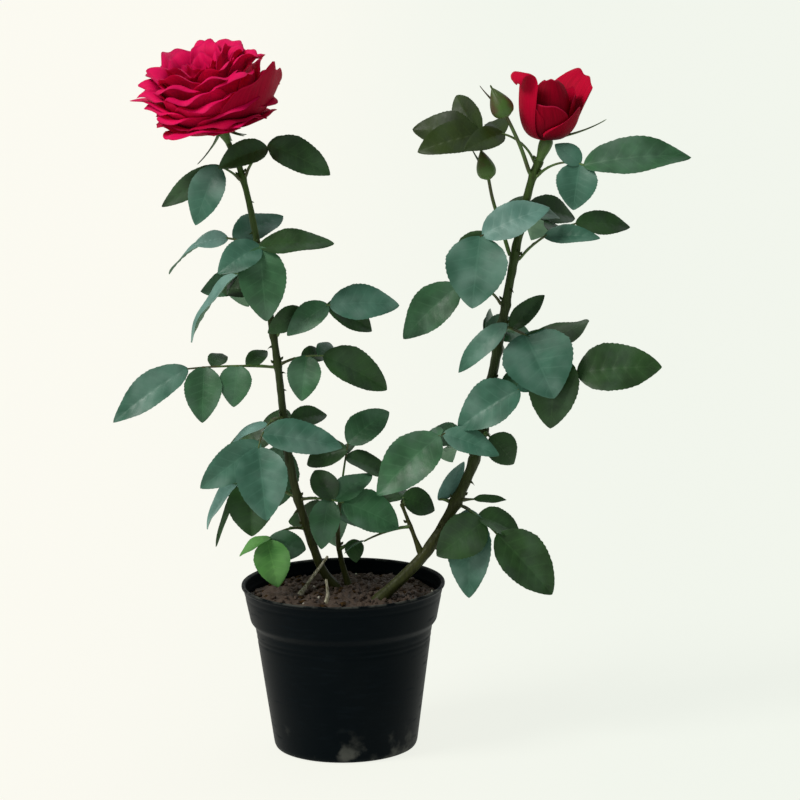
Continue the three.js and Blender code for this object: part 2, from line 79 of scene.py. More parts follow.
def turned_about(vector: Array, axis: Array, degrees: float) -> Array:
    """A vector turned about an axis: its part along the axis stays, the rest turns by cosine and sine.

    Args:
        vector: The vector.
        axis: Unit direction of the axis.
        degrees: The angle, to the left about the axis.

    Returns:
        The turned vector.
    """
    angle = math.radians(degrees)
    along = axis * np.dot(vector, axis)
    return along + (vector - along) * math.cos(angle) + np.cross(axis, vector) * math.sin(angle)


def square_to(vector: Array, axis: Array) -> Array:
    """The unit vector nearest to a vector that is square to a unit axis."""
    return unit(vector - axis * np.sum(vector * axis, axis=-1, keepdims=True))


def cross_axes(axis: Array) -> tuple[Array, Array]:
    """Two unit directions square to an axis. The first points to bearing 0."""
    first = square_to(np.array([1.0, 0.0, 0.0]), axis)
    return first, np.cross(axis, first)


def around(axis: Array, angle: Array) -> Array:
    """Unit directions square to an axis, at angles in radians from bearing 0, to the left about it."""
    first, second = cross_axes(axis)
    return np.cos(angle)[..., None] * first + np.sin(angle)[..., None] * second


def ease(value: Array, start: float, end: float) -> Array:
    """Smooth step: 0 before start, 1 after end, and 3t² − 2t³ in between."""
    t = np.clip((value - start) / (end - start), 0, 1)
    return t * t * (3 - 2 * t)


def ripple(places: Array, size: float, seed: int, waves: int = 9) -> Array:
    """Smooth seeded unevenness, about −1 to 1: sine waves in random directions, added up.

    Args:
        places: Points, one on each row of the last axis.
        size: Mean wavelength, in the points' own unit.
        seed: Seed of the directions, lengths and phases.
        waves: How many sine waves are added.

    Returns:
        One value for each point.
    """
    rng = np.random.default_rng(seed)
    directions = unit(rng.normal(size=(waves, places.shape[-1])))
    lengths = size * rng.uniform(0.6, 1.7, waves)
    phases = rng.uniform(0, 2 * np.pi, waves)
    angles = places @ (directions * (2 * np.pi / lengths)[:, None]).T + phases
    return np.sin(angles).sum(-1) / math.sqrt(waves)


@dataclass(frozen=True)
class Line:
    """A smooth line through knots: a uniform Catmull-Rom spline whose ends are carried on straight."""

    knots: Array

    def at(self, share: Array | float) -> Array:
        """Points at shares of the line, on which each stretch between two knots takes an equal share.

        Between knots p1 and p2 with slopes m1 = (p2 − p0) / 2 and m2 = (p3 − p1) / 2 the point is the cubic
        (2t³ − 3t² + 1) p1 + (t³ − 2t² + t) m1 + (3t² − 2t³) p2 + (t³ − t²) m2.

        Args:
            share: One share, or an array of them.

        Returns:
            One point for each share.
        """
        knots = self.knots
        padded = np.vstack([2 * knots[0] - knots[1], knots, 2 * knots[-1] - knots[-2]])
        place = np.clip(np.asarray(share, float), 0, 1) * (len(knots) - 1)
        index = np.minimum(place.astype(int), len(knots) - 2)
        t = (place - index)[..., None]
        p0, p1, p2, p3 = (padded[index + k] for k in range(4))
        m1, m2 = (p2 - p0) / 2, (p3 - p1) / 2
        rising = t * t * (3 - 2 * t)
        return (1 - rising) * p1 + (t**3 - 2 * t**2 + t) * m1 + rising * p2 + (t**3 - t**2) * m2

    def even(self, count: int) -> Array:
        """Points spaced evenly by length, found by looking lengths up in a fine table.

        Args:
            count: How many points.

        Returns:
            The points, from end to end of the line.
        """
        fine = np.linspace(0, 1, 400)
        steps = np.linalg.norm(np.diff(self.at(fine), axis=0), axis=1)
        length = np.concatenate([[0], np.cumsum(steps)])
        return self.at(np.interp(np.linspace(0, length[-1], count), length, fine))

    def tangent(self, share: float) -> Array:
        """Direction of the line at a share, from two points close to it."""
        step = 1e-4
        return unit(self.at(min(1.0, share + step)) - self.at(max(0.0, share - step)))

    def share_at(self, height: float) -> float:
        """The share at which a rising line passes a height."""
        fine = np.linspace(0, 1, 2000)
        return float(np.interp(height, self.at(fine)[:, 2], fine))


# ---------------------------------------------------------------- meshes from grids


def grid_quads(rows: int, columns: int) -> Whole:
    """Corner numbers of the faces of a grid: from each point, on to the next row and back to its own.

    Args:
        rows: Rows of points.
        columns: Columns of points.

    Returns:
        Four corner numbers for each face, as row and column pairs (0, 0), (1, 0), (1, 1), (0, 1).
    """
    index = np.arange(rows * columns).reshape(rows, columns)
    corners = [index[:-1, :-1], index[1:, :-1], index[1:, 1:], index[:-1, 1:]]
    return np.stack([c.ravel() for c in corners], axis=1)


def grid_places(rows: int, columns: int) -> Array:
    """Places on a grid of its faces' corners.

    Args:
        rows: Rows of points.
        columns: Columns of points.

    Returns:
        The (row, column) shares of each face's corners, in the order of grid_quads.
    """
    row, column = np.meshgrid(np.linspace(0, 1, rows), np.linspace(0, 1, columns), indexing="ij")
    places = np.stack([row.ravel(), column.ravel()], axis=1)
    return places[grid_quads(rows, columns)]


def surface_normals(surface: Array) -> Array:
    """Unit normals of a grid of points: the cross product of its slopes along rows and along columns."""
    return unit(np.cross(np.gradient(surface, axis=0), np.gradient(surface, axis=1)))


def placed(name: str, data: bpy.types.ID) -> bpy.types.Object:
    """A new object in the scene, made from a mesh, a light or a camera.

    Args:
        name: Its name.
        data: The mesh, light or camera.

    Returns:
        The object.
    """
    made = bpy.data.objects.new(name, data)
    bpy.context.scene.collection.objects.link(made)
    return made


@dataclass
class Skin:
    """The points and faces of one piece, which grows patch by patch.

    Each patch has its own cell in the piece's map, so that a pattern never runs from one patch to the next.
    """

    points: list[Array] = field(default_factory=list)
    faces: list[Whole] = field(default_factory=list)
    places: list[Array] = field(default_factory=list)
    cells: list[Whole] = field(default_factory=list)
    finishes: list[Whole] = field(default_factory=list)
    count: int = 0
    cell: int = 0

    def add_faces(self, faces: Whole, places: Array, finish: int) -> None:
        """Adds faces to the patch in hand.

        Args:
            faces: Corner numbers by face, counted from the first of the points that add_points adds next.
            places: The (u, v) place of each corner.
            finish: Number of their finish in the piece's list.
        """
        self.faces.append(faces + self.count)
        self.places.append(places.reshape(-1, 2))
        self.cells.append(np.full(faces.size, self.cell))
        self.finishes.append(np.full(len(faces), finish))

    def add_points(self, points: Array) -> None:
        """Adds the points of the faces just added, in millimetres, and ends the patch.

        Args:
            points: The points, one on each row.
        """
        self.points.append(points)
        self.count += len(points)
        self.cell += 1

    def rings(self, rings: Array, ends: tuple[Array, Array], finish: int = 0) -> None:
        """Adds a closed round skin: rings of points, with a pole at each end.

        Args:
            rings: Points by ring and by side, turning left about the direction from first ring to last.
            ends: The two poles.
            finish: Number of its finish.
        """
        count, sides = rings.shape[:2]
        index = np.arange(count * sides).reshape(count, sides)
        following = np.roll(index, -1, axis=1)
        quads = np.stack([index[:-1], following[:-1], following[1:], index[1:]], axis=-1).reshape(-1, 4)
        row, side = np.meshgrid(np.linspace(0.02, 0.98, count), np.arange(sides) / sides, indexing="ij")
        here = np.stack([row, side], axis=-1)
        there = here + [0, 1 / sides]
        places = np.stack([here[:-1], there[:-1], there[1:], here[1:]], axis=2).reshape(-1, 4, 2)
        poles = np.full(sides, count * sides)
        caps = np.concatenate([
            np.stack([poles, following[0], index[0]], axis=1),
            np.stack([poles + 1, index[-1], following[-1]], axis=1),
        ])
        middle = (here + there) / 2
        cap_places = np.concatenate([
            np.stack([middle[0] * [0, 1], there[0], here[0]], axis=1),
            np.stack([middle[-1] * [0, 1] + [1, 0], here[-1], there[-1]], axis=1),
        ])
        self.add_faces(quads, places, finish)
        self.add_faces(caps, cap_places, finish)
        self.add_points(np.concatenate([rings.reshape(-1, 3), np.stack(ends)]))

    def sheet(self, surface: Array, thickness: Array | float, finishes: tuple[int, int] = (0, 0)) -> None:
        """Adds a closed thin sheet: a grid of points on each side of a surface, joined along its border.

        Each side is a patch of its own.

        Args:
            surface: Points by row and by column, whose slopes' cross product points to the upper side.
            thickness: Thickness away from the border, where it is nought.
            finishes: Numbers of the finishes of the upper and the lower side.
        """
        rows, columns = surface.shape[:2]
        offset = surface_normals(surface) * (np.broadcast_to(thickness, (rows, columns)) / 2)[..., None]
        offset[[0, -1]] = 0
        offset[:, [0, -1]] = 0
        upper = (surface + offset).reshape(-1, 3)
        lower = (surface - offset)[1:-1, 1:-1].reshape(-1, 3)
        under = np.arange(rows * columns).reshape(rows, columns)
        under[1:-1, 1:-1] = rows * columns + np.arange((rows - 2) * (columns - 2)).reshape(rows - 2, -1)
        quads = grid_quads(rows, columns)
        places = grid_places(rows, columns)
        self.add_faces(quads, places, finishes[0])
        self.cell += 1
        self.add_faces(under.ravel()[quads][:, ::-1], places[:, ::-1], finishes[1])
        self.add_points(np.concatenate([upper, lower]))

    def piece(self, name: str, finishes: list["Finish"], slot: str, nodes: list[str]) -> None:
        """Makes the object, which rides on the plant's one body.

        Args:
            name: The piece's name.
            finishes: Its finishes, in the order of the patches' numbers.
            slot: The record's material slot; not used.
            nodes: The solids that it stands for.
        """
        mesh = bpy.data.meshes.new(name)
        faces = [face for block in self.faces for face in block.tolist()]
        mesh.from_pydata((np.concatenate(self.points) * MM).tolist(), [], faces)
        places = np.concatenate(self.places)
        mesh.uv_layers.new(name="surface").data.foreach_set("uv", places.astype(np.float32).ravel())
        across = math.ceil(math.sqrt(self.cell))
        cells = np.concatenate(self.cells)
        corner = np.stack([cells % across, cells // across], axis=1)
        spread = (corner + MAP_MARGIN + places * (1 - 2 * MAP_MARGIN)) / across
        mesh.uv_layers.new(name="OFBake").data.foreach_set("uv", spread.astype(np.float32).ravel())
        mesh.polygons.foreach_set("material_index", np.concatenate(self.finishes).astype(np.int32))
        mesh.polygons.foreach_set("use_smooth", np.ones(len(faces), bool))
        for finish in finishes:
            mesh.materials.append(finish.material())
        mesh.set_sharp_from_angle(angle=math.radians(SHARP))
        mesh.validate()
        piece = placed(name, mesh)
        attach(piece, BODY)
        if nodes:
            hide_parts(*nodes)
        mesh.calc_loop_triangles()
        LOG.info("%s: %d triangles", name, len(mesh.loop_triangles))


def tube_rings(points: Array, radii: Array, sides: int, reference: Array) -> Array:
    """Rings of a tube along points: each point plus radius · (cos a · first + sin a · second).

    Args:
        points: The tube's middle line.
        radii: Radius for each point, or for each point and side.
        sides: Number of sides.
        reference: A direction never along the line, towards which side 0 lies.

    Returns:
        Points by ring and by side.
    """
    tangents = unit(np.gradient(points, axis=0))
    first = square_to(np.broadcast_to(reference, points.shape), tangents)
    second = np.cross(tangents, first)
    angle = np.linspace(0, 2 * np.pi, sides, endpoint=False)
    radius = np.broadcast_to(np.asarray(radii, float).reshape(len(points), -1), (len(points), sides))
    circle = np.cos(angle)[:, None] * first[:, None] + np.sin(angle)[:, None] * second[:, None]
    return points[:, None] + radius[..., None] * circle


def lathe_rings(profile: Array, sides: int, at: Array, axis: Array) -> Array:
    """Rings of an outline turned about an axis through a point.

    Args:
        profile: The outline as (radius, height) pairs.
        sides: Number of sides.
        at: The point at height 0.
        axis: Unit direction of the axis.

    Returns:
        Points by ring and by side.
    """
    circle = around(axis, np.linspace(0, 2 * np.pi, sides, endpoint=False))
    return at + profile[:, 1, None, None] * axis + profile[:, 0, None, None] * circle


def rounded(corners: list[tuple[float, float]], radius: float, steps: int = 5) -> Array:
    """An outline whose inner corners are rounded.

    Each corner becomes a quadratic curve (1 − t)² a + 2t(1 − t) c + t² b, between points a and b that lie
    on its two sides, a radius away or less than half the side.

    Args:
        corners: The outline's corners.
        radius: Distance from a corner to where its curve starts.
        steps: Points of a curve.

    Returns:
        The rounded outline.
    """
    outline = np.array(corners)
    t = np.linspace(0, 1, steps)[:, None]
    parts = [outline[:1]]
    for before, corner, after in zip(outline[:-2], outline[1:-1], outline[2:]):
        back, ahead = before - corner, after - corner
        a = corner + back * min(0.45, radius / np.linalg.norm(back))
        b = corner + ahead * min(0.45, radius / np.linalg.norm(ahead))
        parts.append((1 - t) ** 2 * a + 2 * t * (1 - t) * corner + t**2 * b)
    return np.concatenate([*parts, outline[-1:]])


def filled_in(outline: Array, step: float) -> Array:
    """An outline with more points on its long straight sides.

    Args:
        outline: Points in order.
        step: Greatest distance between two points along the outline.

    Returns:
        The outline's own points and the ones between them.
    """
    length = np.concatenate([[0], np.cumsum(np.linalg.norm(np.diff(outline, axis=0), axis=1))])
    extra = np.arange(0, length[-1], step)
    places = np.unique(np.concatenate([length, extra[np.abs(extra[:, None] - length).min(1) > step / 4]]))
    return np.stack([np.interp(places, length, outline[:, k]) for k in range(2)], axis=1)


def arched(at: Array, heading: Array, normal: Array, length: float, curl: float, across: Array,
           lift: Array) -> Array:
    """Points of a blade that bends along an arc.

    With a = curl · u, its middle line runs length · sin(a) / curl along the heading and
    length · (1 − cos a) / curl along the normal. Across goes to the side, and lift along the arc's own
    normal.

    Args:
        at: Its root.
        heading: Unit direction at the root.
        normal: Unit direction of the upper side at the root.
        length: Length of the arc.
        curl: Angle that the arc turns by, in degrees. Below 0 it droops.
        across: Distance to the side, by row and column.
        lift: Distance above the arc, by row and column.

    Returns:
        Points by row and column.
    """
    bend = math.radians(curl)
    angle = bend * np.linspace(0, 1, len(across))[:, None, None]
    middle = heading * (length * np.sin(angle) / bend) + normal * (length * (1 - np.cos(angle)) / bend)
    up = normal * np.cos(angle) - heading * np.sin(angle)
    return at + middle + np.cross(normal, heading) * across[..., None] + up * lift[..., None]


# ---------------------------------------------------------------- finishes


def linear(code: str) -> tuple[float, float, float, float]:
    """An sRGB colour turned to linear light: v / 12.92 when dark, otherwise ((v + 0.055) / 1.055)^2.4.

    Args:
        code: The colour as #rrggbb.

    Returns:
        Red, green and blue from 0 to 1, and an alpha of 1.
    """
    values = [int(code[i:i + 2], 16) / 255 for i in (1, 3, 5)]
    red, green, blue = (v / 12.92 if v <= 0.04045 else ((v + 0.055) / 1.055) ** 2.4 for v in values)
    return red, green, blue, 1.0


def plain(value: float | tuple | str) -> float | tuple:
    """A value for a socket, with a colour as #rrggbb turned to linear light."""
    return linear(value) if isinstance(value, str) else value


def scale_of(size: float) -> float:
    """Scale of a pattern on Object coordinates, in metres, whose features measure a size in millimetres."""
    return 1 / (size * MM)


class Kind(Enum):
    """The shader nodes in use: Blender's name, settings, the inputs in order, and the output."""

    PLACE = ("ShaderNodeTexCoord", {}, (), "Object")
    OWN_MAP = ("ShaderNodeUVMap", {"uv_map": "surface"}, (), 0)
    X = ("ShaderNodeSeparateXYZ", {}, (0,), "X")
    Y = ("ShaderNodeSeparateXYZ", {}, (0,), "Y")
    Z = ("ShaderNodeSeparateXYZ", {}, (0,), "Z")
    STRETCH = ("ShaderNodeMapping", {}, ("Vector", "Scale"), 0)
    NOISE = ("ShaderNodeTexNoise", {}, ("Vector", "Scale", "Detail"), "Fac")
    FADE = ("ShaderNodeMapRange", {"interpolation_type": "SMOOTHSTEP"},
            ("Value", "From Min", "From Max", "To Min", "To Max"), 0)
    MIX = ("ShaderNodeMix", {"data_type": "RGBA"}, (0, 6, 7), 2)
    SUM = ("ShaderNodeMath", {"operation": "ADD"}, (0, 1), 0)
    DIFFERENCE = ("ShaderNodeMath", {"operation": "SUBTRACT"}, (0, 1), 0)
    PRODUCT = ("ShaderNodeMath", {"operation": "MULTIPLY"}, (0, 1), 0)
    ABSOLUTE = ("ShaderNodeMath", {"operation": "ABSOLUTE"}, (0,), 0)
    ZIGZAG = ("ShaderNodeMath", {"operation": "PINGPONG"}, (0, 1), 0)
    LARGER = ("ShaderNodeMath", {"operation": "MAXIMUM"}, (0, 1), 0)
    BUMP = ("ShaderNodeBump", {}, ("Height", "Distance", "Strength"), 0)


class Shader:
    """A material on the bench: nodes are added to it one by one."""

    def __init__(self, name: str, constants: dict[str, float | str]) -> None:
        """Starts a material.

        Args:
            name: Its name.
            constants: What is the same all over its surface, by input.
        """
        self.material = bpy.data.materials.new(name)
        self.material.use_nodes = True
        self.tree = self.material.node_tree
        self.surface = self.tree.nodes["Principled BSDF"]
        for socket, value in constants.items():
            self.surface.inputs[socket].default_value = plain(value)

    def node(self, kind: Kind, *inputs: Socket | float | tuple | str) -> Socket:
        """Adds one node.

        Args:
            kind: What it does.
            inputs: A socket to link, a value, or a colour as #rrggbb, for the kind's inputs in their order.

        Returns:
            The kind's output.
        """
        name, settings, sockets, output = kind.value
        node = self.tree.nodes.new(name)
        for setting, value in settings.items():
            setattr(node, setting, value)
        for socket, value in zip(sockets, inputs):
            if isinstance(value, Socket):
                self.tree.links.new(value, node.inputs[socket])
            else:
                node.inputs[socket].default_value = plain(value)
        return node.outputs[output]

    def link(self, links: dict[str, Socket]) -> None:
        """Links outputs to inputs of the surface."""
        for name, socket in links.items():
            self.tree.links.new(socket, self.surface.inputs[name])

    def clouds(self, size: float, detail: float = 2.0, stretch: tuple = (1, 1, 1)) -> Socket:
        """Soft irregular patches on Object coordinates.

        Args:
            size: Size of the patches, in millimetres.
            detail: How much finer unevenness they have.
            stretch: Scale along each axis. Below 1 the patches are drawn out.

        Returns:
            A value round 0.5.
        """
        place = self.node(Kind.STRETCH, self.node(Kind.PLACE), stretch)
        return self.node(Kind.NOISE, place, scale_of(size), detail)

    def relief(self, height: Socket, depth: float, strength: float) -> dict[str, Socket]:
        """The surface's link for an unevenness up to a depth in millimetres."""
        return {"Normal": self.node(Kind.BUMP, height, depth * MM, strength)}


@dataclass(frozen=True)
class Finish:
    """A finish. Each one makes its own material."""

    name: str

    def material(self) -> bpy.types.Material:
        """The finished material, made once for each name."""
        return bpy.data.materials.get(self.name) or self.make()

    def make(self) -> bpy.types.Material:
        """Builds the material."""
        raise NotImplementedError


@dataclass(frozen=True)
class MouldedPlastic(Finish):
    """Black recycled polypropylene, injection moulded: a dull satin black, dusted with dry soil; the top of
    its rim is lightened, partly worn by handling and partly a painted highlight.
    """

    colour: str = "#05090c"
    worn: str = "#0a1014"
    dust_and_highlight: str = "#8c8d84"
    tint: str = "#b8d4e0"
    foot: float = 34.0  # height that splashes of soil reach
    rim: float = 124.5  # height of the rim, whose top is worn by hands and lightened as a painted highlight
    most_dust_and_highlight: float = 0.26

    def make(self) -> bpy.types.Material:
        """Builds the material.

        Dust lies in blotches near the foot, scuffs run round the body, and a fine grain breaks the gloss.
        The top of the rim is lightened in the same colour, partly as wear from handling and partly as a
        painted highlight.

        Returns:
            The material.
        """
        shader = Shader(self.name, {"IOR": 1.49, "Specular IOR Level": 0.05, "Specular Tint": self.tint})
        node, clouds = shader.node, shader.clouds
        height = node(Kind.Z, node(Kind.PLACE))
        scuffs = node(Kind.FADE, clouds(5, 5, (0.3, 0.3, 1.6)), 0.5, 0.8)
        blotches = node(Kind.FADE, clouds(16, 4), 0.52, 0.72)
        low = node(Kind.FADE, height, 0.0, self.foot * MM, 1.0, 0.0)
        film = node(Kind.FADE, clouds(40, 3), 0.35, 0.75, 0.0, 0.015)
        # the rim's top: wear from handling and a painted highlight, in one mask
        edge = node(Kind.FADE, height, (self.rim - 2) * MM, self.rim * MM, 0.0, 0.8)
        rubbed_and_highlit = node(Kind.PRODUCT, edge, node(Kind.FADE, clouds(9, 3), 0.4, 0.6))
        dust_and_rim_highlight = node(Kind.SUM, node(Kind.PRODUCT, low, blotches), node(Kind.SUM, film, rubbed_and_highlit))
        body = node(Kind.MIX, scuffs, self.colour, self.worn)
        shader.link({
            "Base Color": node(Kind.MIX, node(Kind.PRODUCT, dust_and_rim_highlight, self.most_dust_and_highlight), body, self.dust_and_highlight),
            "Roughness": node(Kind.FADE, node(Kind.SUM, scuffs, dust_and_rim_highlight), 0, 1, 0.46, 0.64),
            **shader.relief(clouds(0.9, 2), 0.05, 0.35),
        })
        return shader.material


@dataclass(frozen=True)
class PottingMix(Finish):
    """Moist peat and bark potting mix: dark, fibrous and matt, with lighter dry crumbs."""

    wet: str = "#090602"
    dry: str = "#2d210c"

    def make(self) -> bpy.types.Material:
        """Builds the material. Crumbs of two sizes lighten the dark mix, and the finer ones lift it.

        Returns:
            The material.
        """
        shader = Shader(self.name, {"Roughness": 0.95, "Specular IOR Level": 0.0})
        node, crumbs = shader.node, shader.clouds(2.5, 6)
        clods = node(Kind.FADE, shader.clouds(9, 3), 0.3, 0.65)
        dryness = node(Kind.PRODUCT, node(Kind.FADE, crumbs, 0.42, 0.7), clods)
        shader.link({
            "Base Color": node(Kind.MIX, dryness, self.wet, self.dry),
            **shader.relief(crumbs, 1.2, 0.9),
        })
        return shader.material


@dataclass(frozen=True)
class Mineral(Finish):
    """Loose bits in the mix, such as bark or perlite: one dull colour with a little mottling."""

    colour: str = "#3e2d16"
    deep: str = "#1a1107"

    def make(self) -> bpy.types.Material:
        """Builds the material, in two tones by patches as fine as the bits.

        Returns:
            The material.
        """
        shader = Shader(self.name, {"Roughness": 0.9, "Specular IOR Level": 0.08})
        mottle = shader.node(Kind.FADE, shader.clouds(2), 0.35, 0.65)
        shader.link({"Base Color": shader.node(Kind.MIX, mottle, self.deep, self.colour)})
        return shader.material


@dataclass(frozen=True)
class GreenBark(Finish):
    """Living rose bark: a waxen skin, brown and corky at the foot and green above, finely streaked along."""

    foot: str = "#363b14"
    middle: str = "#26360f"
    top: str = "#375019"
    blush: str = "#1e1f0b"

    def make(self) -> bpy.types.Material:
        """Builds the material. The colour goes from foot to top by height, with darker streaks over it.

        Returns:
            The material.
        """
        shader = Shader(self.name, {"Specular IOR Level": 0.22})
        node, streaks = shader.node, shader.clouds(1.6, 4, (1, 1, 0.12))
        height = node(Kind.Z, node(Kind.PLACE))
        young = node(Kind.MIX, node(Kind.FADE, height, 160 * MM, 240 * MM), self.foot, self.middle)
        green = node(Kind.MIX, node(Kind.FADE, height, 300 * MM, 440 * MM), young, self.top)
        shader.link({
            "Base Color": node(Kind.MIX, node(Kind.FADE, streaks, 0.35, 0.65, 0.0, 0.5), green, self.blush),
            "Roughness": node(Kind.FADE, streaks, 0.3, 0.7, 0.45, 0.68),
            **shader.relief(streaks, 0.25, 0.6),
        })
        return shader.material


@dataclass(frozen=True)
class StalkSkin(Finish):
    """Skin of leaf stalks, hips and sepals: smooth light green, often flushed with red-brown."""

    colour: str = "#4c6a30"
    flush: str = "#3d3f1d"

    def make(self) -> bpy.types.Material:
        """Builds the material, with a flush in soft patches and a fine unevenness.

        Returns:
            The material.
        """
        shader = Shader(self.name, {"Specular IOR Level": 0.4, "Roughness": 0.5})
        patches = shader.node(Kind.FADE, shader.clouds(14, 3), 0.38, 0.66)
        shader.link({
            "Base Color": shader.node(Kind.MIX, patches, self.colour, self.flush),
            **shader.relief(shader.clouds(1.2, 2), 0.12, 0.5),
        })
        return shader.material


@dataclass(frozen=True)
class DeadWood(Finish):
    """Dry dead rose twig: bleached grey wood with the bark flaked off, matt and split length-wise."""

    pale: str = "#bcb8a2"
    dark: str = "#6f6b54"

    def make(self) -> bpy.types.Material:
        """Builds the material, with dark splits along the twig over bleached wood.

        Returns:
            The material.
        """
        shader = Shader(self.name, {"Roughness": 0.9, "Specular IOR Level": 0.2})
        splits = shader.clouds(0.9, 4, (1, 1, 0.15))
        dark = shader.node(Kind.FADE, splits, 0.4, 0.62)
        shader.link({
            "Base Color": shader.node(Kind.MIX, dark, self.pale, self.dark),
            **shader.relief(splits, 0.3, 0.7),
        })
        return shader.material


@dataclass(frozen=True)
class LeafBlade(Finish):
    """Upper side of a rose leaf: a waxen skin over green tissue, with paler veins; its soft bluish gloss is
    a painted sky reflection, mixed into the colour in patches.
    """

    colour: str
    deep: str
    vein: str
    roughness: float = 0.44
    film: float = 0.16  # most that the painted sky reflection covers the green
    painted_sky_sheen: str = "#9ab4ac"
    veins: float = SIDE_VEINS

    def make(self) -> bpy.types.Material:
        """Builds the material.

        The midrib and the side veins are drawn on the leaf's own map, where u runs to the tip. With
        w = |2v − 1|, side veins are where veins · (u − 0.2 w) comes near a whole number.

        Returns:
            The material.
        """
        shader = Shader(self.name, {"Specular IOR Level": 0.3})
        node, clouds = shader.node, shader.clouds
        surface = node(Kind.OWN_MAP)
        offset = node(Kind.DIFFERENCE, node(Kind.Y, surface), 0.5)
        wide = node(Kind.PRODUCT, node(Kind.ABSOLUTE, offset), 2.0)
        slant = node(Kind.DIFFERENCE, node(Kind.X, surface), node(Kind.PRODUCT, wide, 0.2))
        near = node(Kind.ZIGZAG, node(Kind.PRODUCT, slant, self.veins), 0.5)
        side = node(Kind.PRODUCT, node(Kind.FADE, near, 0.03, 0.1, 1.0, 0.0),
                    node(Kind.FADE, wide, 0.35, 0.95, 0.75, 0.0))
        veins = node(Kind.LARGER, side, node(Kind.FADE, wide, 0.03, 0.1, 1.0, 0.0))
        tissue = node(Kind.MIX, node(Kind.FADE, clouds(16, 2), 0.3, 0.7), self.deep, self.colour)
        # painted sky reflection: bluish-grey patches mixed into the green, more on the lit tones
        painted_sheen_patches = node(Kind.PRODUCT, node(Kind.FADE, clouds(24, 1), 0.4, 0.68, 0.0, self.film),
                    node(Kind.FADE, clouds(9, 3), 0.1, 0.8, 0.4, 1.0))
        green_with_painted_sheen = node(Kind.MIX, painted_sheen_patches, tissue, self.painted_sky_sheen)
        low, high = self.roughness - 0.05, self.roughness + 0.1
        shader.link({
            "Base Color": node(Kind.MIX, node(Kind.PRODUCT, veins, 0.16), green_with_painted_sheen, self.vein),
            "Roughness": node(Kind.FADE, clouds(9, 2), 0.3, 0.7, low, high),
            **shader.relief(clouds(1.1, 3), 0.12, 0.5),
        })
        return shader.material


@dataclass(frozen=True)
class LeafUnderside(Finish):
    """Lower side of a rose leaf: paler, matt and felted between raised veins."""

    colour: str = "#648669"
    deep: str = "#54765c"

    def make(self) -> bpy.types.Material:
        """Builds the material, with soft mottling and no gloss.

        Returns:
            The material.
        """
        shader = Shader(self.name, {"Specular IOR Level": 0.25, "Roughness": 0.75})
        mottle = shader.node(Kind.FADE, shader.clouds(14, 2), 0.3, 0.7)
        shader.link({
            "Base Color": shader.node(Kind.MIX, mottle, self.deep, self.colour),
            **shader.relief(shader.clouds(0.9, 3), 0.15, 0.6),
        })
        return shader.material


@dataclass(frozen=True)
class VelvetPetal(Finish):
    """Rose petal: tiny cone-shaped cells make it velvety and bright in grazing light; its colour holds
    painted shade deep in the folds and a painted highlight on the rim.
    """

    root: str
    rim: str
    edge: str
    sheen: str
    sheen_weight: float = 0.35
    gloss: float = 0.12

    def make(self) -> bpy.types.Material:
        """Builds the material.

        The colour brightens from root to rim, as painted shade towards the root and painted highlight
        towards the rim. It changes on the very edge, lighter on the backs as a painted highlight, and has
        faint veins along the petal.

        Returns:
            The material.
        """
        shader = Shader(self.name, {
            "Roughness": 0.6, "Specular IOR Level": self.gloss, "Sheen Weight": self.sheen_weight,
            "Sheen Roughness": 0.45, "Sheen Tint": self.sheen,
        })
        node = shader.node
        surface = node(Kind.OWN_MAP)
        u = node(Kind.X, surface)
        veins = node(Kind.NOISE, node(Kind.STRETCH, surface, (3, 46, 1)), 1.0, 3.0)
        # painted shade at the root and painted highlight towards the rim
        glow = node(Kind.MIX, node(Kind.FADE, u, 0.1, 0.85), self.root, self.rim)
        veined = node(Kind.MIX, node(Kind.FADE, veins, 0.35, 0.7, 0.0, 0.3), glow, self.root)
        shader.link({
            # the very edge: on the backs a lighter painted highlight
            "Base Color": node(Kind.MIX, node(Kind.FADE, u, 0.965, 1.0, 0.0, 0.7), veined, self.edge),
            **shader.relief(veins, 0.3, 0.35),
        })
        return shader.material


@dataclass(frozen=True)
class PaleFloor(Finish):
    """Matt light-table sweep: a warm off-white, lit a little from below so that shadows stay faint."""

    colour: str = "#5a5b58"
    left: str = "#fcfaf1"
    right: str = "#f1f5ec"
    half: float = 300.0  # distance from the middle over which the tint changes
    glow: float = 0.9

    def make(self) -> bpy.types.Material:
        """Builds the material, with a tint that drifts from warm on the left to cool on the right.

        Returns:
            The material.
        """
        shader = Shader(self.name, {
            "Base Color": self.colour, "Roughness": 1.0, "Specular IOR Level": 0.0,
            "Emission Strength": self.glow,
        })
        node = shader.node
        across = node(Kind.FADE, node(Kind.X, node(Kind.PLACE)), -self.half * MM, self.half * MM)
        shader.link({"Emission Color": node(Kind.MIX, across, self.left, self.right)})
        return shader.material


class Tone(Enum):
    """Colour groups of the leaflets, by their letter in the leaf table: lit and shaded copies of one green,
    with painted sky sheen (bluish, light), painted shade (dark), a painted back-lit look (olive) and painted
    light shining through the light green of new leaves (young); mid is the plain green.
    """

    DARK = "d"
    BLUISH = "b"
    MID = "m"
    OLIVE = "o"
    LIGHT = "l"
    YOUNG = "y"


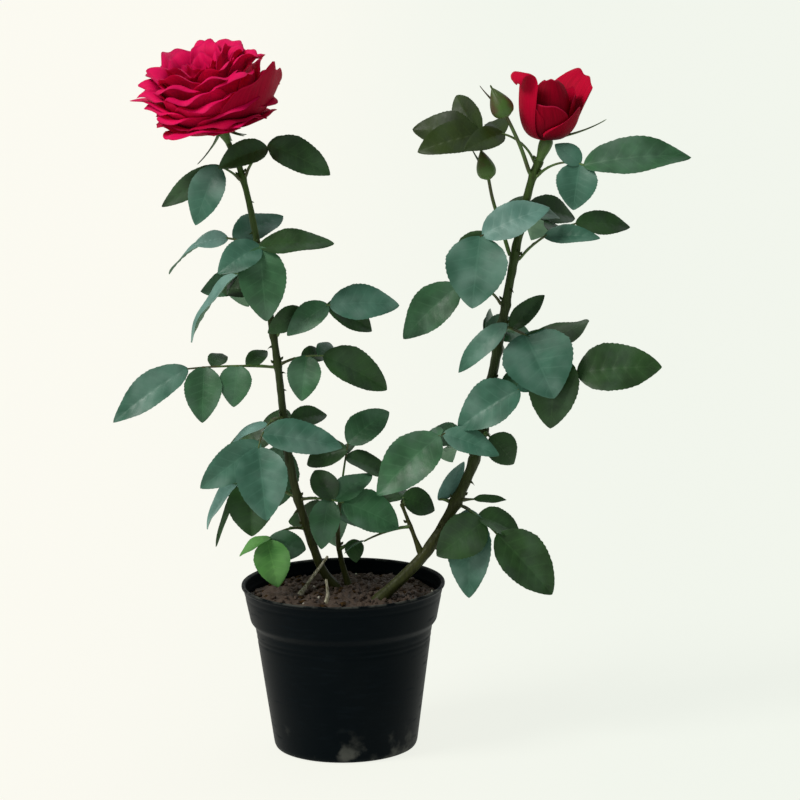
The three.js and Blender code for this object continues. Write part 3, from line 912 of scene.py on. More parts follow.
# Each leaflet's tone is dealt by how it faces the light: painted light and shade in the leaf colour.
LEAF_TONES = {
    Tone.DARK: LeafBlade("leaf_dark", "#27491f", "#1a3513", "#466b3c", 0.46, 0.05),
    Tone.BLUISH: LeafBlade("leaf_bluish", "#416e5b", "#305a48", "#66917d", 0.42, 0.24),
    Tone.MID: LeafBlade("leaf_mid", "#376541", "#284f31", "#5c8b64", 0.44, 0.14),
    Tone.OLIVE: LeafBlade("leaf_olive", "#2a3d0a", "#1f2e07", "#485a20", 0.5, 0.03),
    Tone.LIGHT: LeafBlade("leaf_light", "#668f84", "#4e776b", "#8ab0a3", 0.42, 0.3),
    Tone.YOUNG: LeafBlade("leaf_young", "#559144", "#3f7634", "#7ab55e", 0.4, 0.1, "#b8d8a0"),
}
LEAF_UNDER = LeafUnderside("leaf_underside")
YOUNG_UNDER = LeafUnderside("leaf_underside_young", "#7fb573", "#62a058")
OLIVE_UNDER = LeafUnderside("leaf_underside_olive", "#3f5216", "#2c3b0e")
STALK_SKIN = StalkSkin("stalk_skin")
SEPAL_SKIN = StalkSkin("sepal_skin", "#456427", "#2f431a")
BUD_SKIN = StalkSkin("bud_skin", "#3f5f20", "#47391f")
GREEN_BARK = GreenBark("rose_bark")
DEAD_WOOD = DeadWood("dead_wood")
PETAL_FACE = VelvetPetal("petal_face", "#b4003a", "#e60a5c", "#b8084c", "#ff5aa0", 0.16, 0.1)
# PETAL_LOW: darker face for the lowest rings, painted shade under the bloom
PETAL_LOW = VelvetPetal("low_petal_face", "#96002c", "#bc063e", "#a0063c", "#ff4a88", 0.08, 0.05)
PETAL_BACK = VelvetPetal("petal_back", "#98002a", "#d20c48", "#de1a56", "#ff3c78", 0.08, 0.06)
# GUARD_BACK: darker backs of the outer petals, painted shade on the underside and shaded side of the bloom
GUARD_BACK = VelvetPetal("guard_petal_back", "#3c000c", "#980227", "#b00838", "#ff2050", 0.02, 0.03)
# DARK_FACE and DARK_BACK: darker roots and colour for the half-open bloom, painted shade on its front
DARK_FACE = VelvetPetal("dark_petal_face", "#6a0016", "#c00430", "#a0042c", "#ff3060", 0.06, 0.05)
DARK_BACK = VelvetPetal("dark_petal_back", "#2c0008", "#8a001c", "#c02048", "#ff3060", 0.02, 0.04)


# ---------------------------------------------------------------- pot and potting mix


@dataclass(frozen=True)
class Pot:
    """The round nursery pot: a tapered body, a wider collar and a rolled rim."""

    height: float = 124.5
    rim_radius: float = 75.0
    band_top: float = 73.6
    band_foot: float = 68.7
    band_foot_height: float = 97.0
    body_top: float = 65.3
    body_top_height: float = 92.5
    body_foot: float = 53.0
    foot_rounding: float = 4.0
    wall: float = 1.5
    floor: float = 2.0
    sides: int = 144
    rim_foot: float = 3.2  # below the top, where the rolled rim starts
    rim_under: float = 2.4  # below the top, where the rim is at its widest
    rim_shoulder: float = 0.6  # below the top, where the rim turns inwards
    rim_rounding: float = 0.8
    groove: float = 0.35  # depth of the moulding rings
    groove_width: float = 0.9
    step: float = 1.0  # between two points of the outline

    def profile(self) -> Array:
        """Outline from the middle of the underside, up the outside, over the rim and down the inside.

        Returns:
            The rounded outline as (radius, height) pairs.
        """
        h, wall = self.height, self.wall
        outside = [
            (0, 0), (self.body_foot - self.foot_rounding, 0), (self.body_foot - 1.2, 1.2),
            (self.body_foot, self.foot_rounding), (self.body_top, self.body_top_height),
            (self.band_foot, self.band_foot_height), (self.band_top, h - self.rim_foot),
            (self.rim_radius, h - self.rim_under), (self.rim_radius, h - self.rim_shoulder),
            (self.rim_radius - self.rim_rounding, h), (self.band_top - wall, h - self.rim_rounding),
        ]
        inside = [
            (self.band_foot - wall, self.band_foot_height + 0.6),
            (self.body_top - wall, self.body_top_height + 0.4), (self.body_foot - wall, self.foot_rounding),
            (self.body_foot - wall - 1.5, self.floor), (0, self.floor),
        ]
        return filled_in(rounded(outside + inside, 1.2), self.step)

    def rings(self) -> Array:
        """The outline turned round, with two shallow moulding rings under the collar and one on it.

        A ring at height z₀ takes groove · exp(−((z − z₀) / width)²) off the radius.

        Returns:
            Points by ring and by side, without the two poles.
        """
        profile = self.profile()
        for place in (self.body_top_height - 6, self.body_top_height - 10, self.height - 9):
            profile[:, 0] -= self.groove * np.exp(-((profile[:, 1] - place) / self.groove_width) ** 2)
        return lathe_rings(profile[1:-1], self.sides, np.zeros(3), UP)

    def build(self) -> None:
        """Makes the pot."""
        skin = Skin()
        skin.rings(self.rings(), (np.zeros(3), np.array([0, 0, self.floor])))
        skin.piece("pot_moulded", [MouldedPlastic("moulded_black_plastic")], "pot_plastic", ["pot"])


@dataclass(frozen=True)
class Mound:
    """The potting mix: an uneven mound in the pot, with crumbs, bark chips and a few perlite grains."""

    pot: Pot
    edge_height: float = 113.0
    mound: float = 5.0
    seat_depth: float = 1.0
    gap: float = 0.3
    depth: float = 15.5  # how far the modelled mix reaches below its edge
    crumbs: int = 520
    chips: int = 70
    grains: int = 12

    @property
    def edge(self) -> float:
        """Radius of the mix where it meets the collar.

        Returns:
            The radius at the height of the mix's edge.
        """
        pot = self.pot
        slope = (pot.band_top - pot.band_foot) / (pot.height - pot.rim_foot - pot.band_foot_height)
        return pot.band_foot - pot.wall - 2 * self.gap + (self.edge_height - pot.band_foot_height) * slope

    def top(self, radius: Array | float) -> Array | float:
        """Height of the smooth mound: edge height plus mound · (1 − (r / edge)²)."""
        return self.edge_height + self.mound * (1 - (radius / self.edge) ** 2)

    def foot(self, x: float, y: float) -> float:
        """Height at which a limb's flat foot stands in its seat."""
        return self.top(math.hypot(x, y)) - self.seat_depth + self.gap

    def rough_top(self, x: Array, y: Array) -> Array:
        """The mound's height with clods and crumbs of three sizes on it, calmer along the pot's wall.

        Args:
            x: Places along +X.
            y: Places along +Y.

        Returns:
            The height at each place.
        """
        radius = np.hypot(x, y)
        places = np.stack([x, y], axis=-1)
        clods = 1.4 * ripple(places, 21, 11) + 1.0 * ripple(places, 8, 12)
        rough = clods + 0.7 * ripple(places, 3.4, 13, 14)
        return self.top(radius) + rough * (1 - 0.6 * ease(radius, self.edge - 8, self.edge))

    def bed(self, skin: Skin) -> None:
        """Adds the bed of mix: rings over the mound, down the wall and closed below.

        Args:
            skin: The piece that it joins.
        """
        angle = np.linspace(0, 2 * np.pi, 168, endpoint=False)
        radius = self.edge * np.linspace(1, 0.015, 62)[:, None]
        x, y = radius * np.cos(angle), radius * np.sin(angle)
        upper = np.stack([x, y, self.rough_top(x, y)], axis=-1)
        wall = upper[:1] * [0.94, 0.94, 0] + [0, 0, self.edge_height - self.depth]
        centre = np.array([0, 0, float(self.rough_top(np.zeros(1), np.zeros(1))[0])])
        skin.rings(np.concatenate([wall, upper]), (np.array([0, 0, self.edge_height - self.depth]), centre))

    def lumps(self, skin: Skin, count: int, low: float, high: float, flat: float, finish: int,
              seed: int) -> None:
        """Adds loose lumps that lie half sunk on the mix, as squashed and dented balls.

        Args:
            skin: The piece that they join.
            count: How many.
            low: Smallest half length.
            high: Largest half length.
            flat: Their height as a share of their length.
            finish: Number of their finish.
            seed: Seed of their places, turns and shapes.
        """
        rng = np.random.default_rng(seed)
        rise = np.radians([-50, -5, 45])[:, None]
        turn = np.radians(np.arange(0, 360, 60))
        flat_part = np.cos(rise)
        ball = np.stack([flat_part * np.cos(turn), flat_part * np.sin(turn), np.sin(rise) + 0 * turn], -1)
        for _ in range(count):
            radius = self.edge * 0.97 * math.sqrt(rng.uniform(0, 1))
            bearing = rng.uniform(0, 360)
            size = rng.uniform(low, high) * np.array([1, rng.uniform(0.45, 0.9), flat])
            dents = 1 + rng.uniform(-0.25, 0.25, ball.shape[:2])[..., None]
            spin = Matrix.Rotation(rng.uniform(0, 6.28), 3, "Z")
            axes = np.array(spin @ Matrix.Rotation(rng.uniform(-0.6, 0.6), 3, "X")).T
            place = aim(bearing, 0) * radius
            place[2] = float(self.rough_top(place[:1], place[1:2])[0]) + 0.25 * size[2]
            poles = np.array([[0, 0, -1], [0, 0, 1]]) * size @ axes + place
            skin.rings(ball * dents * size @ axes + place, (poles[0], poles[1]), finish)

    def build(self) -> None:
        """Makes the mix and what lies loose in it."""
        skin = Skin()
        self.bed(skin)
        self.lumps(skin, self.crumbs, 0.9, 2.6, 0.7, 0, 21)
        self.lumps(skin, self.chips, 2.0, 5.2, 0.35, 1, 22)
        self.lumps(skin, self.grains, 0.8, 1.5, 0.8, 2, 23)
        perlite = Mineral("perlite", "#d8d4c6", "#a39f92")
        finishes = [PottingMix("potting_mix"), Mineral("bark_chips"), perlite]
        skin.piece("potting_mix", finishes, "potting_mix", ["soil"])


# ---------------------------------------------------------------- canes, shoots and twigs


@dataclass(frozen=True)
class Limb:
    """A tapering limb: its name, its line above the foot and its radius at foot and tip."""

    name: str
    line: Line
    foot_radius: float
    tip_radius: float

    def radius(self, share: Array | float) -> Array | float:
        """Radius at a share of the line."""
        return self.foot_radius + (self.tip_radius - self.foot_radius) * share

    def side_root(self, height: float, heading: Array) -> tuple[Array, Array]:
        """Where a stalk leaves the limb.

        Args:
            height: The stalk's height.
            heading: Direction that it leaves in.

        Returns:
            Middle of the limb at that height, and the point just off its bark on the heading's side.
        """
        share = self.line.share_at(height)
        at = self.line.at(share)
        outward = square_to(heading, self.line.tangent(share))
        return at, at + outward * (self.radius(share) + SEAT)


@dataclass
class Canes:
    """Every limb of the bush: two canes, two green shoots and two dry twigs."""

    mound: Mound
    limbs: dict[str, Limb] = field(default_factory=dict)
    spacing: float = 1.9  # between two rings of the bark
    buried: float = 8.0  # how far the bark goes on below a limb's foot
    swelling: float = 0.55  # of the bark at a leaf
    swelling_reach: float = 2.6
    flare: float = 0.9  # of a limb at its foot
    flare_reach: float = 5.0
    prickle: tuple[float, float] = (3.2, 5.6)  # shortest and longest
    young_above: float = 380.0  # height above which the prickles are smaller
    bud_above: float = 2.6  # from a leaf's foot to its axil bud
    bud_radius: float = 1.05
    bud_length: float = 3.6

    STANDING = {
        "cane_left": ([(-6, 12), (-19, 8, 141), (-37, -1, 212), (-46, -4, 300), (-60, -3, 393),
                       (-69, 0, 433), (-77, 2, 452)], 3.3, 2.1),
        "cane_right": ([(27, -21), (65, -8, 153), (98, 6, 214), (113, 12, 280), (131, 16, 372),
                        (141, 16, 415), (148, 14, 434)], 4.3, 2.9),
        "shoot_centre": ([(4, 16), (0, 14, 132), (-3, 9, 150), (-3, 4, 172)], 2.4, 1.4),
        "twig_dry_back": ([(-31, -1), (-24, 1, 126), (-11, 4, 143)], 1.4, 1.0),
        "twig_dry_front": ([(-12, -31), (-11, -31, 123), (-12, -30, 134)], 1.2, 0.9),
    }
    SIDE_SHOOT = ("cane_right", 147, [(53, -9, 160), (47, -7, 176), (44, -6, 184)], 1.7, 1.2)

    def __post_init__(self) -> None:
        """Works out the line of each limb. A first knot without a height stands in the mix."""
        for name, (knots, foot_radius, tip_radius) in self.STANDING.items():
            x, y = knots[0]
            line = Line(np.array([(x, y, self.mound.foot(x, y)), *knots[1:]], float))
            self.limbs[name] = Limb(name, line, foot_radius, tip_radius)
        on, height, knots, foot_radius, tip_radius = self.SIDE_SHOOT
        line = self.side_line(on, height, knots)
        self.limbs["shoot_side"] = Limb("shoot_side", line, foot_radius, tip_radius)

    def side_line(self, on: str, height: float, knots: list[tuple]) -> Line:
        """The line of a side stalk.

        Args:
            on: Name of the limb that it grows from.
            height: Height at which it leaves the limb.
            knots: Places that it runs through after the bark.

        Returns:
            The line, from just off the bark.
        """
        limb = self.limbs[on]
        middle = limb.line.at(limb.line.share_at(height))
        _, root = limb.side_root(height, unit(np.array(knots[0], float) - middle))
        return Line(np.array([root, *knots], float))

    def bark(self, skin: Skin, limb: Limb, sides: int, nodes: list[float], finish: int) -> None:
        """Adds a limb's bark.

        Its radius is the taper · (1 + small ripples along and round it), swollen at each leaf by
        swelling · exp(−((z − height) / reach)²) and flared at the foot by flare · exp(−length / reach).

        Args:
            skin: The piece that it joins.
            limb: The limb.
            sides: Number of sides.
            nodes: Heights of its leaves.
            finish: Number of the bark's finish.
        """
        length = float(np.linalg.norm(np.diff(limb.line.at(np.linspace(0, 1, 60)), axis=0), axis=1).sum())
        count = max(10, int(length / self.spacing))
        points = limb.line.even(count)
        share = np.linspace(0, 1, count)
        angle = np.linspace(0, 2 * np.pi, sides, endpoint=False)
        taper = limb.radius(share)[:, None]
        wrap = np.stack(np.broadcast_arrays(points[:, 2:] / 5, 1.5 * np.cos(angle), 1.5 * np.sin(angle)), -1)
        relief = 0.05 * ripple(wrap, 1.6, 31) + 0.03 * ripple(wrap * [0.25, 3, 3], 1.5, 32)
        swelling = sum(self.swelling * np.exp(-((points[:, 2:] - node) / self.swelling_reach) ** 2)
                       for node in nodes)
        flare = self.flare * np.exp(-share * length / self.flare_reach)[:, None]
        radii = taper * (1 + relief) + swelling * limb.tip_radius / 2.5 + flare
        buried = points[0] - limb.line.tangent(0.0) * self.buried
        rings = tube_rings(np.vstack([buried, points]), np.vstack([radii[:1], radii]), sides,
                           np.array([1.0, 0, 0]))
        tip = points[-1] + limb.line.tangent(1.0) * 0.2
        skin.rings(rings, (buried, tip), finish)

    def prickles(self, skin: Skin, limb: Limb, low: float, high: float, count: int, seed: int) -> None:
        """Adds hooked prickles: tapering tubes from inside the bark, along s · out + (0.18 s − 0.5 s²) · up.

        Args:
            skin: The piece that they join.
            limb: The limb that they stand on.
            low: Height of the lowest.
            high: Height of the highest.
            count: How many.
            seed: Seed of their heights, bearings and sizes.
        """
        rng = np.random.default_rng(seed)
        heights = np.linspace(low, high, count) + rng.uniform(-6, 6, count)
        share = np.linspace(0, 1, 7)[:, None]
        for height in heights:
            outward = aim(rng.uniform(0, 360), 0)
            middle, root = limb.side_root(height, outward)
            out = unit(root - middle)
            size = rng.uniform(*self.prickle) * (0.7 if height > self.young_above else 1.0)
            start = middle + out * (np.linalg.norm(root - middle) - SEAT - 0.6)
            points = start + out * size * share + UP * size * (0.18 * share - 0.5 * share**2)
            radii = size * 0.3 * (1 - share[:, 0]) ** 1.25 + 0.04
            skin.rings(tube_rings(points, radii, 8, UP), (points[0], points[-1] + out * 0.05))

    def axil_buds(self, skin: Skin, limb: Limb, places: list[tuple[float, float]]) -> None:
        """Adds the small dormant bud above each leaf's foot: an egg that leans out of the axil.

        Args:
            skin: The piece that they join.
            limb: The limb that they stand on.
            places: Height and bearing of each leaf.
        """
        for height, bearing in places:
            middle, root = limb.side_root(height + self.bud_above, aim(bearing, 0))
            axis = unit(unit(root - middle) * 0.8 + UP)
            t = np.linspace(0.08, 0.96, 7)
            profile = np.stack([self.bud_radius * np.sin(np.pi * t**0.75), self.bud_length * t], axis=1)
            at = middle + (root - middle) * 0.8
            skin.rings(lathe_rings(profile, 8, at, axis), (at, at + axis * self.bud_length))

    def build(self, leaves: list["Leaf"]) -> None:
        """Makes the bark of the living limbs, with axil buds and prickles, and the dry twigs.

        Args:
            leaves: All leaves, at whose feet the bark swells.
        """
        green = Skin()
        for name, sides in (("cane_left", 28), ("cane_right", 28), ("shoot_centre", 20), ("shoot_side", 16)):
            places = [(leaf.height, leaf.bearing) for leaf in leaves if leaf.on == name]
            self.bark(green, self.limbs[name], sides, [height for height, _ in places], 0)
            self.axil_buds(green, self.limbs[name], places)
        self.prickles(green, self.limbs["cane_left"], 150, 420, 17, 41)
        self.prickles(green, self.limbs["cane_right"], 150, 400, 17, 42)
        green.piece("canes_bark", [GREEN_BARK], "green_bark",
                    ["cane_left", "cane_right", "shoot_centre", "shoot_side"])
        dry = Skin()
        for name in ("twig_dry_back", "twig_dry_front"):
            self.bark(dry, self.limbs[name], 14, [], 0)
        dry.piece("dry_twigs", [DEAD_WOOD], "dry_wood", ["twig_dry_back", "twig_dry_front"])


# ---------------------------------------------------------------- leaves


@dataclass(frozen=True)
class Leaf:
    """A compound leaf: the limb and height that it grows at, how its stalk runs, and its leaflets.

    A leaflet is (place along the stalk, bearing, rise, length, width share, roll), where the last two may be
    left out. The tones have one letter for each leaflet.
    """

    node: str
    on: str
    height: float
    bearing: float
    rise: float
    reach: float
    bend: float
    # one letter per leaflet, picking a lit or shaded copy of the green: painted light and shade
    tones: str
    leaflets: tuple[tuple[float, ...], ...]


LEAVES = [
    Leaf("leaf_01", "cane_left", 428, -25, 69, 31, -40, "ddd", ((1, -22, -15, 50), (0.95, 10, -8, 38),
        (0.9, -150, -8, 40))),
    Leaf("leaf_02", "cane_left", 427, -162, 48, 20, -30, "bd", ((1, -130, -54, 47),
        (0.9, 180, -33, 54, 0.36, -20))),
    Leaf("leaf_03", "cane_left", 378, -84, 20, 16, -30, "mdb", ((1, -80, -63, 55, 0.68),
        (0.8, -8, 10, 55, 0.5, -20), (0.9, -146, -16, 38, 0.72))),
    Leaf("leaf_04", "cane_left", 374, 150, 36, 42, -62, "llb", ((1, 158, -22, 44, 0.6, 45),
        (0.6, 195, 0, 26), (0.45, 30, 24, 46, 0.6, -10))),
    Leaf("leaf_05", "cane_left", 363, 170, -10, 16, -30, "ld", ((1, 174, -41, 64, 0.46, 50),
        (1, 140, -40, 24, 0.6, 20))),
    Leaf("leaf_06", "cane_left", 311, -12, 65, 49, -70, "bdmd", ((1, -5, 8, 52), (0.95, 8, -26, 42),
        (0.95, -150, -22, 38), (0.55, -140, -20, 32, 0.6, -20))),
    Leaf("leaf_07", "cane_left", 290, -15, 27, 33, -30, "dmmd", ((1, -5, -22, 55),
        (0.6, -106, -62, 34, 0.82), (0.9, 60, 30, 22), (0.5, 30, 5, 26))),
    Leaf("leaf_08", "cane_left", 288, 182, 5, 63, -10, "bmdmd", ((1, -160, -25, 68, 0.44),
        (0.8, -95, -58, 42, 0.72), (0.7, 70, 22, 26), (0.42, -98, -48, 32, 0.8), (0.3, 40, 30, 24))),
    Leaf("leaf_09", "cane_left", 250, -122, 14, 38, -85, "bbbl", ((1, -78, -60, 54, 0.78),
        (0.7, -6, -5, 60, 0.5), (0.9, -166, -34, 56, 0.5, -20), (0.5, 165, -20, 36, 0.6, 40))),
    Leaf("leaf_10", "cane_left", 242, 75, 10, 22, -20, "mdd", ((1, 85, -2, 42), (0.6, 20, 12, 32),
        (0.6, 140, 0, 34))),
    Leaf("leaf_11", "cane_left", 190, 165, 28, 44, -38, "ldmd", ((1, 165, -42, 46, 0.6, 40),
        (0.75, -90, -60, 40, 1.0), (0.8, 120, 10, 34), (1, -165, -66, 54, 0.1))),
    Leaf("leaf_12", "cane_left", 166, -150, 14, 31, -50, "yym", ((1, -62, -60, 36, 0.82),
        (0.9, -165, -18, 27, 0.65, 40), (0.9, -6, -24, 30, 0.85, 40))),
    Leaf("leaf_13", "cane_left", 187, -25, 10, 34, -20, "mmmd", ((1, -12, -16, 46, 0.76),
        (0.62, -108, -58, 38, 0.66), (0.8, 25, 38, 36, 0.7, -20), (0.72, 130, 48, 32, 0.7))),
    Leaf("leaf_14", "shoot_centre", 172, 50, 82, 55, -10, "mddd", ((1, 8, 42, 40, 0.7),
        (0.8, -8, -16, 38, 0.6, -20), (0.9, 175, -12, 36, 0.66), (0.85, 100, 10, 34))),
    Leaf("leaf_15", "shoot_centre", 148, -30, 35, 12, 0, "d", ((1, -80, -50, 18, 0.85),)),
    Leaf("leaf_16", "shoot_side", 183, 90, 50, 6, 0, "ddd", ((1, 5, -18, 28, 0.85),
        (0.9, 175, -4, 30, 0.6, 30), (0.8, 80, 5, 36, 0.6, 16))),
    Leaf("leaf_17", "shoot_side", 168, 180, -8, 34, -20, "d", ((1, 188, -14, 18, 0.5, 60),)),
    Leaf("leaf_18", "cane_right", 432, 178, 70, 52, -92, "ooooo", ((1, 178, 14, 48, 0.7),
        (0.9, -162, -6, 50, 0.62), (0.92, 140, 44, 40, 0.7, -40), (0.6, -140, -6, 36),
        (0.6, 110, 20, 32))),
    Leaf("leaf_19", "cane_right", 424, -30, 46, 42, -62, "mbb", ((1, -10, 14, 80, 0.42),
        (0.9, -110, -62, 35, 0.95), (0.9, 172, 44, 24, 0.75))),
    Leaf("leaf_20", "cane_right", 362, 8, 50, 50, -40, "dbd", ((1, 10, 0, 44, 0.5),
        (0.5, -24, 8, 42, 0.42), (0.6, 70, 10, 36))),
    Leaf("leaf_21", "cane_right", 382, -155, 15, 29, -40, "bld", ((1, -104, -56, 54, 0.9),
        (0.9, -12, 31, 54, 0.56), (0.8, 172, -50, 46))),
    Leaf("leaf_22", "cane_right", 328, 175, 62, 36, -80, "md", ((1, -160, -33, 57), (0.6, 110, 10, 38))),
    Leaf("leaf_23", "cane_right", 312, -12, -20, 62, -25, "ddbdd", ((1, -8, 10, 63, 0.68),
        (0.66, -104, -66, 56, 0.74), (0.22, -56, -44, 54, 1.1), (0.25, 18, -4, 58, 0.5, 68),
        (0.05, 12, 46, 36, 0.5))),
    Leaf("leaf_24", "cane_right", 272, -40, 10, 22, -40, "bbm", ((1, -168, -24, 54, 0.74),
        (0.95, 20, 10, 20), (0.3, 10, 12, 26))),
    Leaf("leaf_25", "cane_right", 236, -150, 12, 34, -30, "mbm", ((1, -150, -30, 64, 0.62),
        (0.85, -18, -14, 44, 0.52), (1, 100, 25, 16))),
    Leaf("leaf_26", "cane_right", 183, -30, -22, 36, -20, "dbddd", ((1, -18, -42, 61, 0.7),
        (0.2, -92, -72, 66, 0.56), (0.6, -152, -28, 44, 0.8, -20), (0.45, 0, -16, 38, 0.74, -20),
        (0.8, 60, -25, 30, 0.6, -20))),
    Leaf("leaf_27", "cane_right", 182, 170, 20, 8, -20, "l", ((1, 20, 46, 36, 0.42, 40),)),
    Leaf("leaf_28", "cane_right", 187, 10, 0, 8, 0, "d", ((1, 10, 0, 26, 0.3),)),
    Leaf("leaf_35", "cane_right", 312, -78, 20, 11, 0, "b", ((1, -166, -36, 52, 0.36),)),
    Leaf("leaf_36", "cane_right", 234, -62, -12, 8, 0, "d", ((1, -15, -42, 28, 0.95),)),
    Leaf("leaf_29", "cane_left", 335, 110, 35, 40, -40, "dmmd", ((1, 100, -20, 56), (0.8, 55, 15, 36),
        (0.8, 170, -5, 44), (0.4, 166, 5, 34))),
    Leaf("leaf_30", "cane_left", 218, 110, 30, 44, -40, "mddm", ((1, 70, -25, 54), (0.8, 60, -10, 38),
        (0.8, 165, -5, 42), (0.35, 180, -80, 52, 0.7))),
    Leaf("leaf_31", "cane_right", 386, 80, 30, 42, -50, "mddm", ((1, 80, -25, 56), (0.8, 15, -5, 44),
        (0.55, 116, 12, 36), (0.4, 20, 0, 32, 0.6, -20))),
    Leaf("leaf_32", "cane_right", 294, 100, 30, 46, -45, "dmmd", ((1, 60, -25, 60), (0.8, 30, -5, 46),
        (0.8, 70, 5, 42, 0.6, 40), (0.4, 60, 10, 34, 0.6, -40))),
    Leaf("leaf_33", "cane_right", 214, 100, 25, 44, -40, "mdmd", ((1, 105, -20, 52), (0.7, 38, -6, 36),
        (0.8, 150, 10, 40), (0.4, 125, 0, 34, 0.6, 20))),
    Leaf("leaf_34", "shoot_centre", 160, 95, 20, 46, -30, "dmd", ((1, 95, -25, 56), (0.8, 25, -8, 42),
        (0.8, 160, -8, 42))),
]


@dataclass
class Foliage:
    """All compound leaves: stalks with stipules, and leaflets with toothed margins, a fold and a droop."""

    canes: Canes
    stalk_radius: tuple[float, float] = (1.05, 0.65)
    stalk_steps: int = 8
    stations: int = 52
    columns: tuple[float, ...] = (-1, -0.9, -0.66, -0.36, -0.1, 0, 0.1, 0.36, 0.66, 0.9, 1)
    teeth: int = 17
    tooth: float = 0.04  # depth of a tooth as a share of the half width
    wide: float = 0.6
    root_half: float = 0.7
    sunk: float = 0.8
    curl: float = -28.0
    fold: float = 14.0
    thickness: float = 0.34
    swell: float = 0.011  # of the tissue between side veins, as a share of the length
    wave: tuple[float, float] = (0.008, 0.022)  # of the margin, as a share of the length
    rib: float = 0.35  # added thickness at the midrib
    flare: float = 0.9  # of a stalk at its foot
    flare_reach: float = 2.2
    light: Array = field(default_factory=lambda: unit(np.array([0, -0.78, 0.62])))
    right: tuple[str, ...] = ("cane_right", "shoot_side")  # limbs of the right-hand piece

    def stalk(self, leaf: Leaf) -> tuple[Array, Line]:
        """A leaf's stalk: steps of the same length, which turn by the bend from first to last.

        Args:
            leaf: The leaf.

        Returns:
            The middle of the limb at the leaf's foot, and the stalk's line.
        """
        heading = aim(leaf.bearing, leaf.rise)
        middle, root = self.canes.limbs[leaf.on].side_root(leaf.height, heading)
        shares = (np.arange(self.stalk_steps) + 0.5) / self.stalk_steps
        step = leaf.reach / self.stalk_steps
        steps = [aim(leaf.bearing, leaf.rise + leaf.bend * s) * step for s in shares]
        return middle, Line(root + np.vstack([np.zeros(3), np.cumsum(steps, axis=0)]))

    def half_width(self, u: Array, length: float, wide: float) -> Array:
        """Half the width of a leaflet: sin(π u^0.82)^0.75 · (1 − 0.12 u), drawn to a point at the tip."""
        outline = np.maximum(0, np.sin(np.pi * u**0.82)) ** 0.75 * (1 - 0.12 * u)
        return np.maximum(self.root_half * (1 - u) + 0.06, length * wide / 2 * outline)

    def blade(self, spec: tuple[float, ...], stalk_at: Array, rng: np.random.Generator) -> Array:
        """The surface of one leaflet.

        The half width has saw teeth near the margin. The halves fold up along the midrib, the tissue swells
        between side veins, and the margin waves.

        Args:
            spec: The leaflet's entry in the leaf table.
            stalk_at: Where it joins the stalk.
            rng: Source of its own fold, wave and curl.

        Returns:
            Points by row, from root to tip, and by column.
        """
        _, bearing, rise, length, *rest = spec
        wide, roll = (*rest, *(self.wide, 0.0)[len(rest):])
        heading = aim(bearing, rise)
        normal = turned_about(square_to(self.light, heading), heading, roll)
        u = np.linspace(0, 1, self.stations)[:, None]
        v = np.array(self.columns)[None, :]
        saw = (u * self.teeth) % 1
        across = v * self.half_width(u, length, wide) * (1 + self.tooth * (saw - 0.5) * np.abs(v) ** 5)
        fold = math.radians(self.fold + rng.uniform(-5, 7))
        lift = np.sqrt(across**2 + 0.2) * math.sin(fold)
        veins = np.abs(np.sin(np.pi * SIDE_VEINS * (u - 0.2 * np.abs(v))))
        body = np.sin(np.pi * u) * (1 - v**2)
        lift = lift + self.swell * length * (veins - 0.6) * body
        wave, phase = rng.uniform(*self.wave), rng.uniform(0, 6.28)
        crests = np.sin(2 * np.pi * 1.6 * u + phase + 0.8 * np.sign(v))
        lift = lift + wave * length * v**2 * crests * ease(u, 0, 0.2)
        curl = self.curl + rng.uniform(-9, 9)
        root = stalk_at - heading * self.sunk
        return arched(root, heading, normal, length, curl, across * math.cos(fold), lift)

    def stipules(self, skin: Skin, line: Line, side: Array, size: float) -> None:
        """Adds the two wings at a stalk's foot: a strip that widens, turned up at both sides.

        Args:
            skin: The piece that they join.
            line: The stalk's line.
            side: Unit direction across the stalk.
            size: Their length.
        """
        share = np.linspace(0, 1, 12)
        points = line.at(np.interp(share, [0, 1], [0, min(0.6, size / 26)]))
        half = 0.5 + 1.5 * np.sin(np.pi * (0.15 + 0.75 * share)) * (1 + 0.6 * (share > 0.8))
        v = np.array([-1, -0.5, 0, 0.5, 1.0])
        lift = UP * (np.abs(v) * 0.5)[None, :, None] * half[:, None, None]
        surface = points[:, None] + side * (v[None] * half[:, None])[..., None] + lift
        skin.sheet(surface, 0.4)

    def build(self) -> None:
        """Makes the stalks and three pieces of leaflets: left cane, right cane, and the young leaf."""
        stalks = Skin()
        groups = {"left": Skin(), "right": Skin(), "young": Skin()}
        nodes: dict[str, list[str]] = {name: [] for name in groups}
        tones = list(Tone)
        unders = {Tone.YOUNG: 1, Tone.OLIVE: 2}
        fade = np.linspace(1, 0.2, self.stations)[:, None]
        rib = self.rib * np.exp(-(np.array(self.columns) / 0.08) ** 2) * fade
        rng = np.random.default_rng(7)
        for leaf in LEAVES:
            middle, line = self.stalk(leaf)
            side = aim(leaf.bearing + 90, 0)
            points = np.vstack([middle, line.at(np.linspace(0, 1, 20))])
            share = np.linspace(0, 1, 21)
            radii = self.stalk_radius[0] + (self.stalk_radius[1] - self.stalk_radius[0]) * share
            radii = radii + self.flare * np.exp(-share * leaf.reach / self.flare_reach)
            stalks.rings(tube_rings(points, radii, 10, side), (points[0], points[-1]))
            if leaf.reach > 12:
                self.stipules(stalks, line, side, min(9.0, leaf.reach * 0.35))
            where = "young" if leaf.node == "leaf_12" else "right" if leaf.on in self.right else "left"
            nodes[where].append(leaf.node)
            for spec, letter in zip(leaf.leaflets, leaf.tones):
                surface = self.blade(spec, line.at(spec[0]), rng)
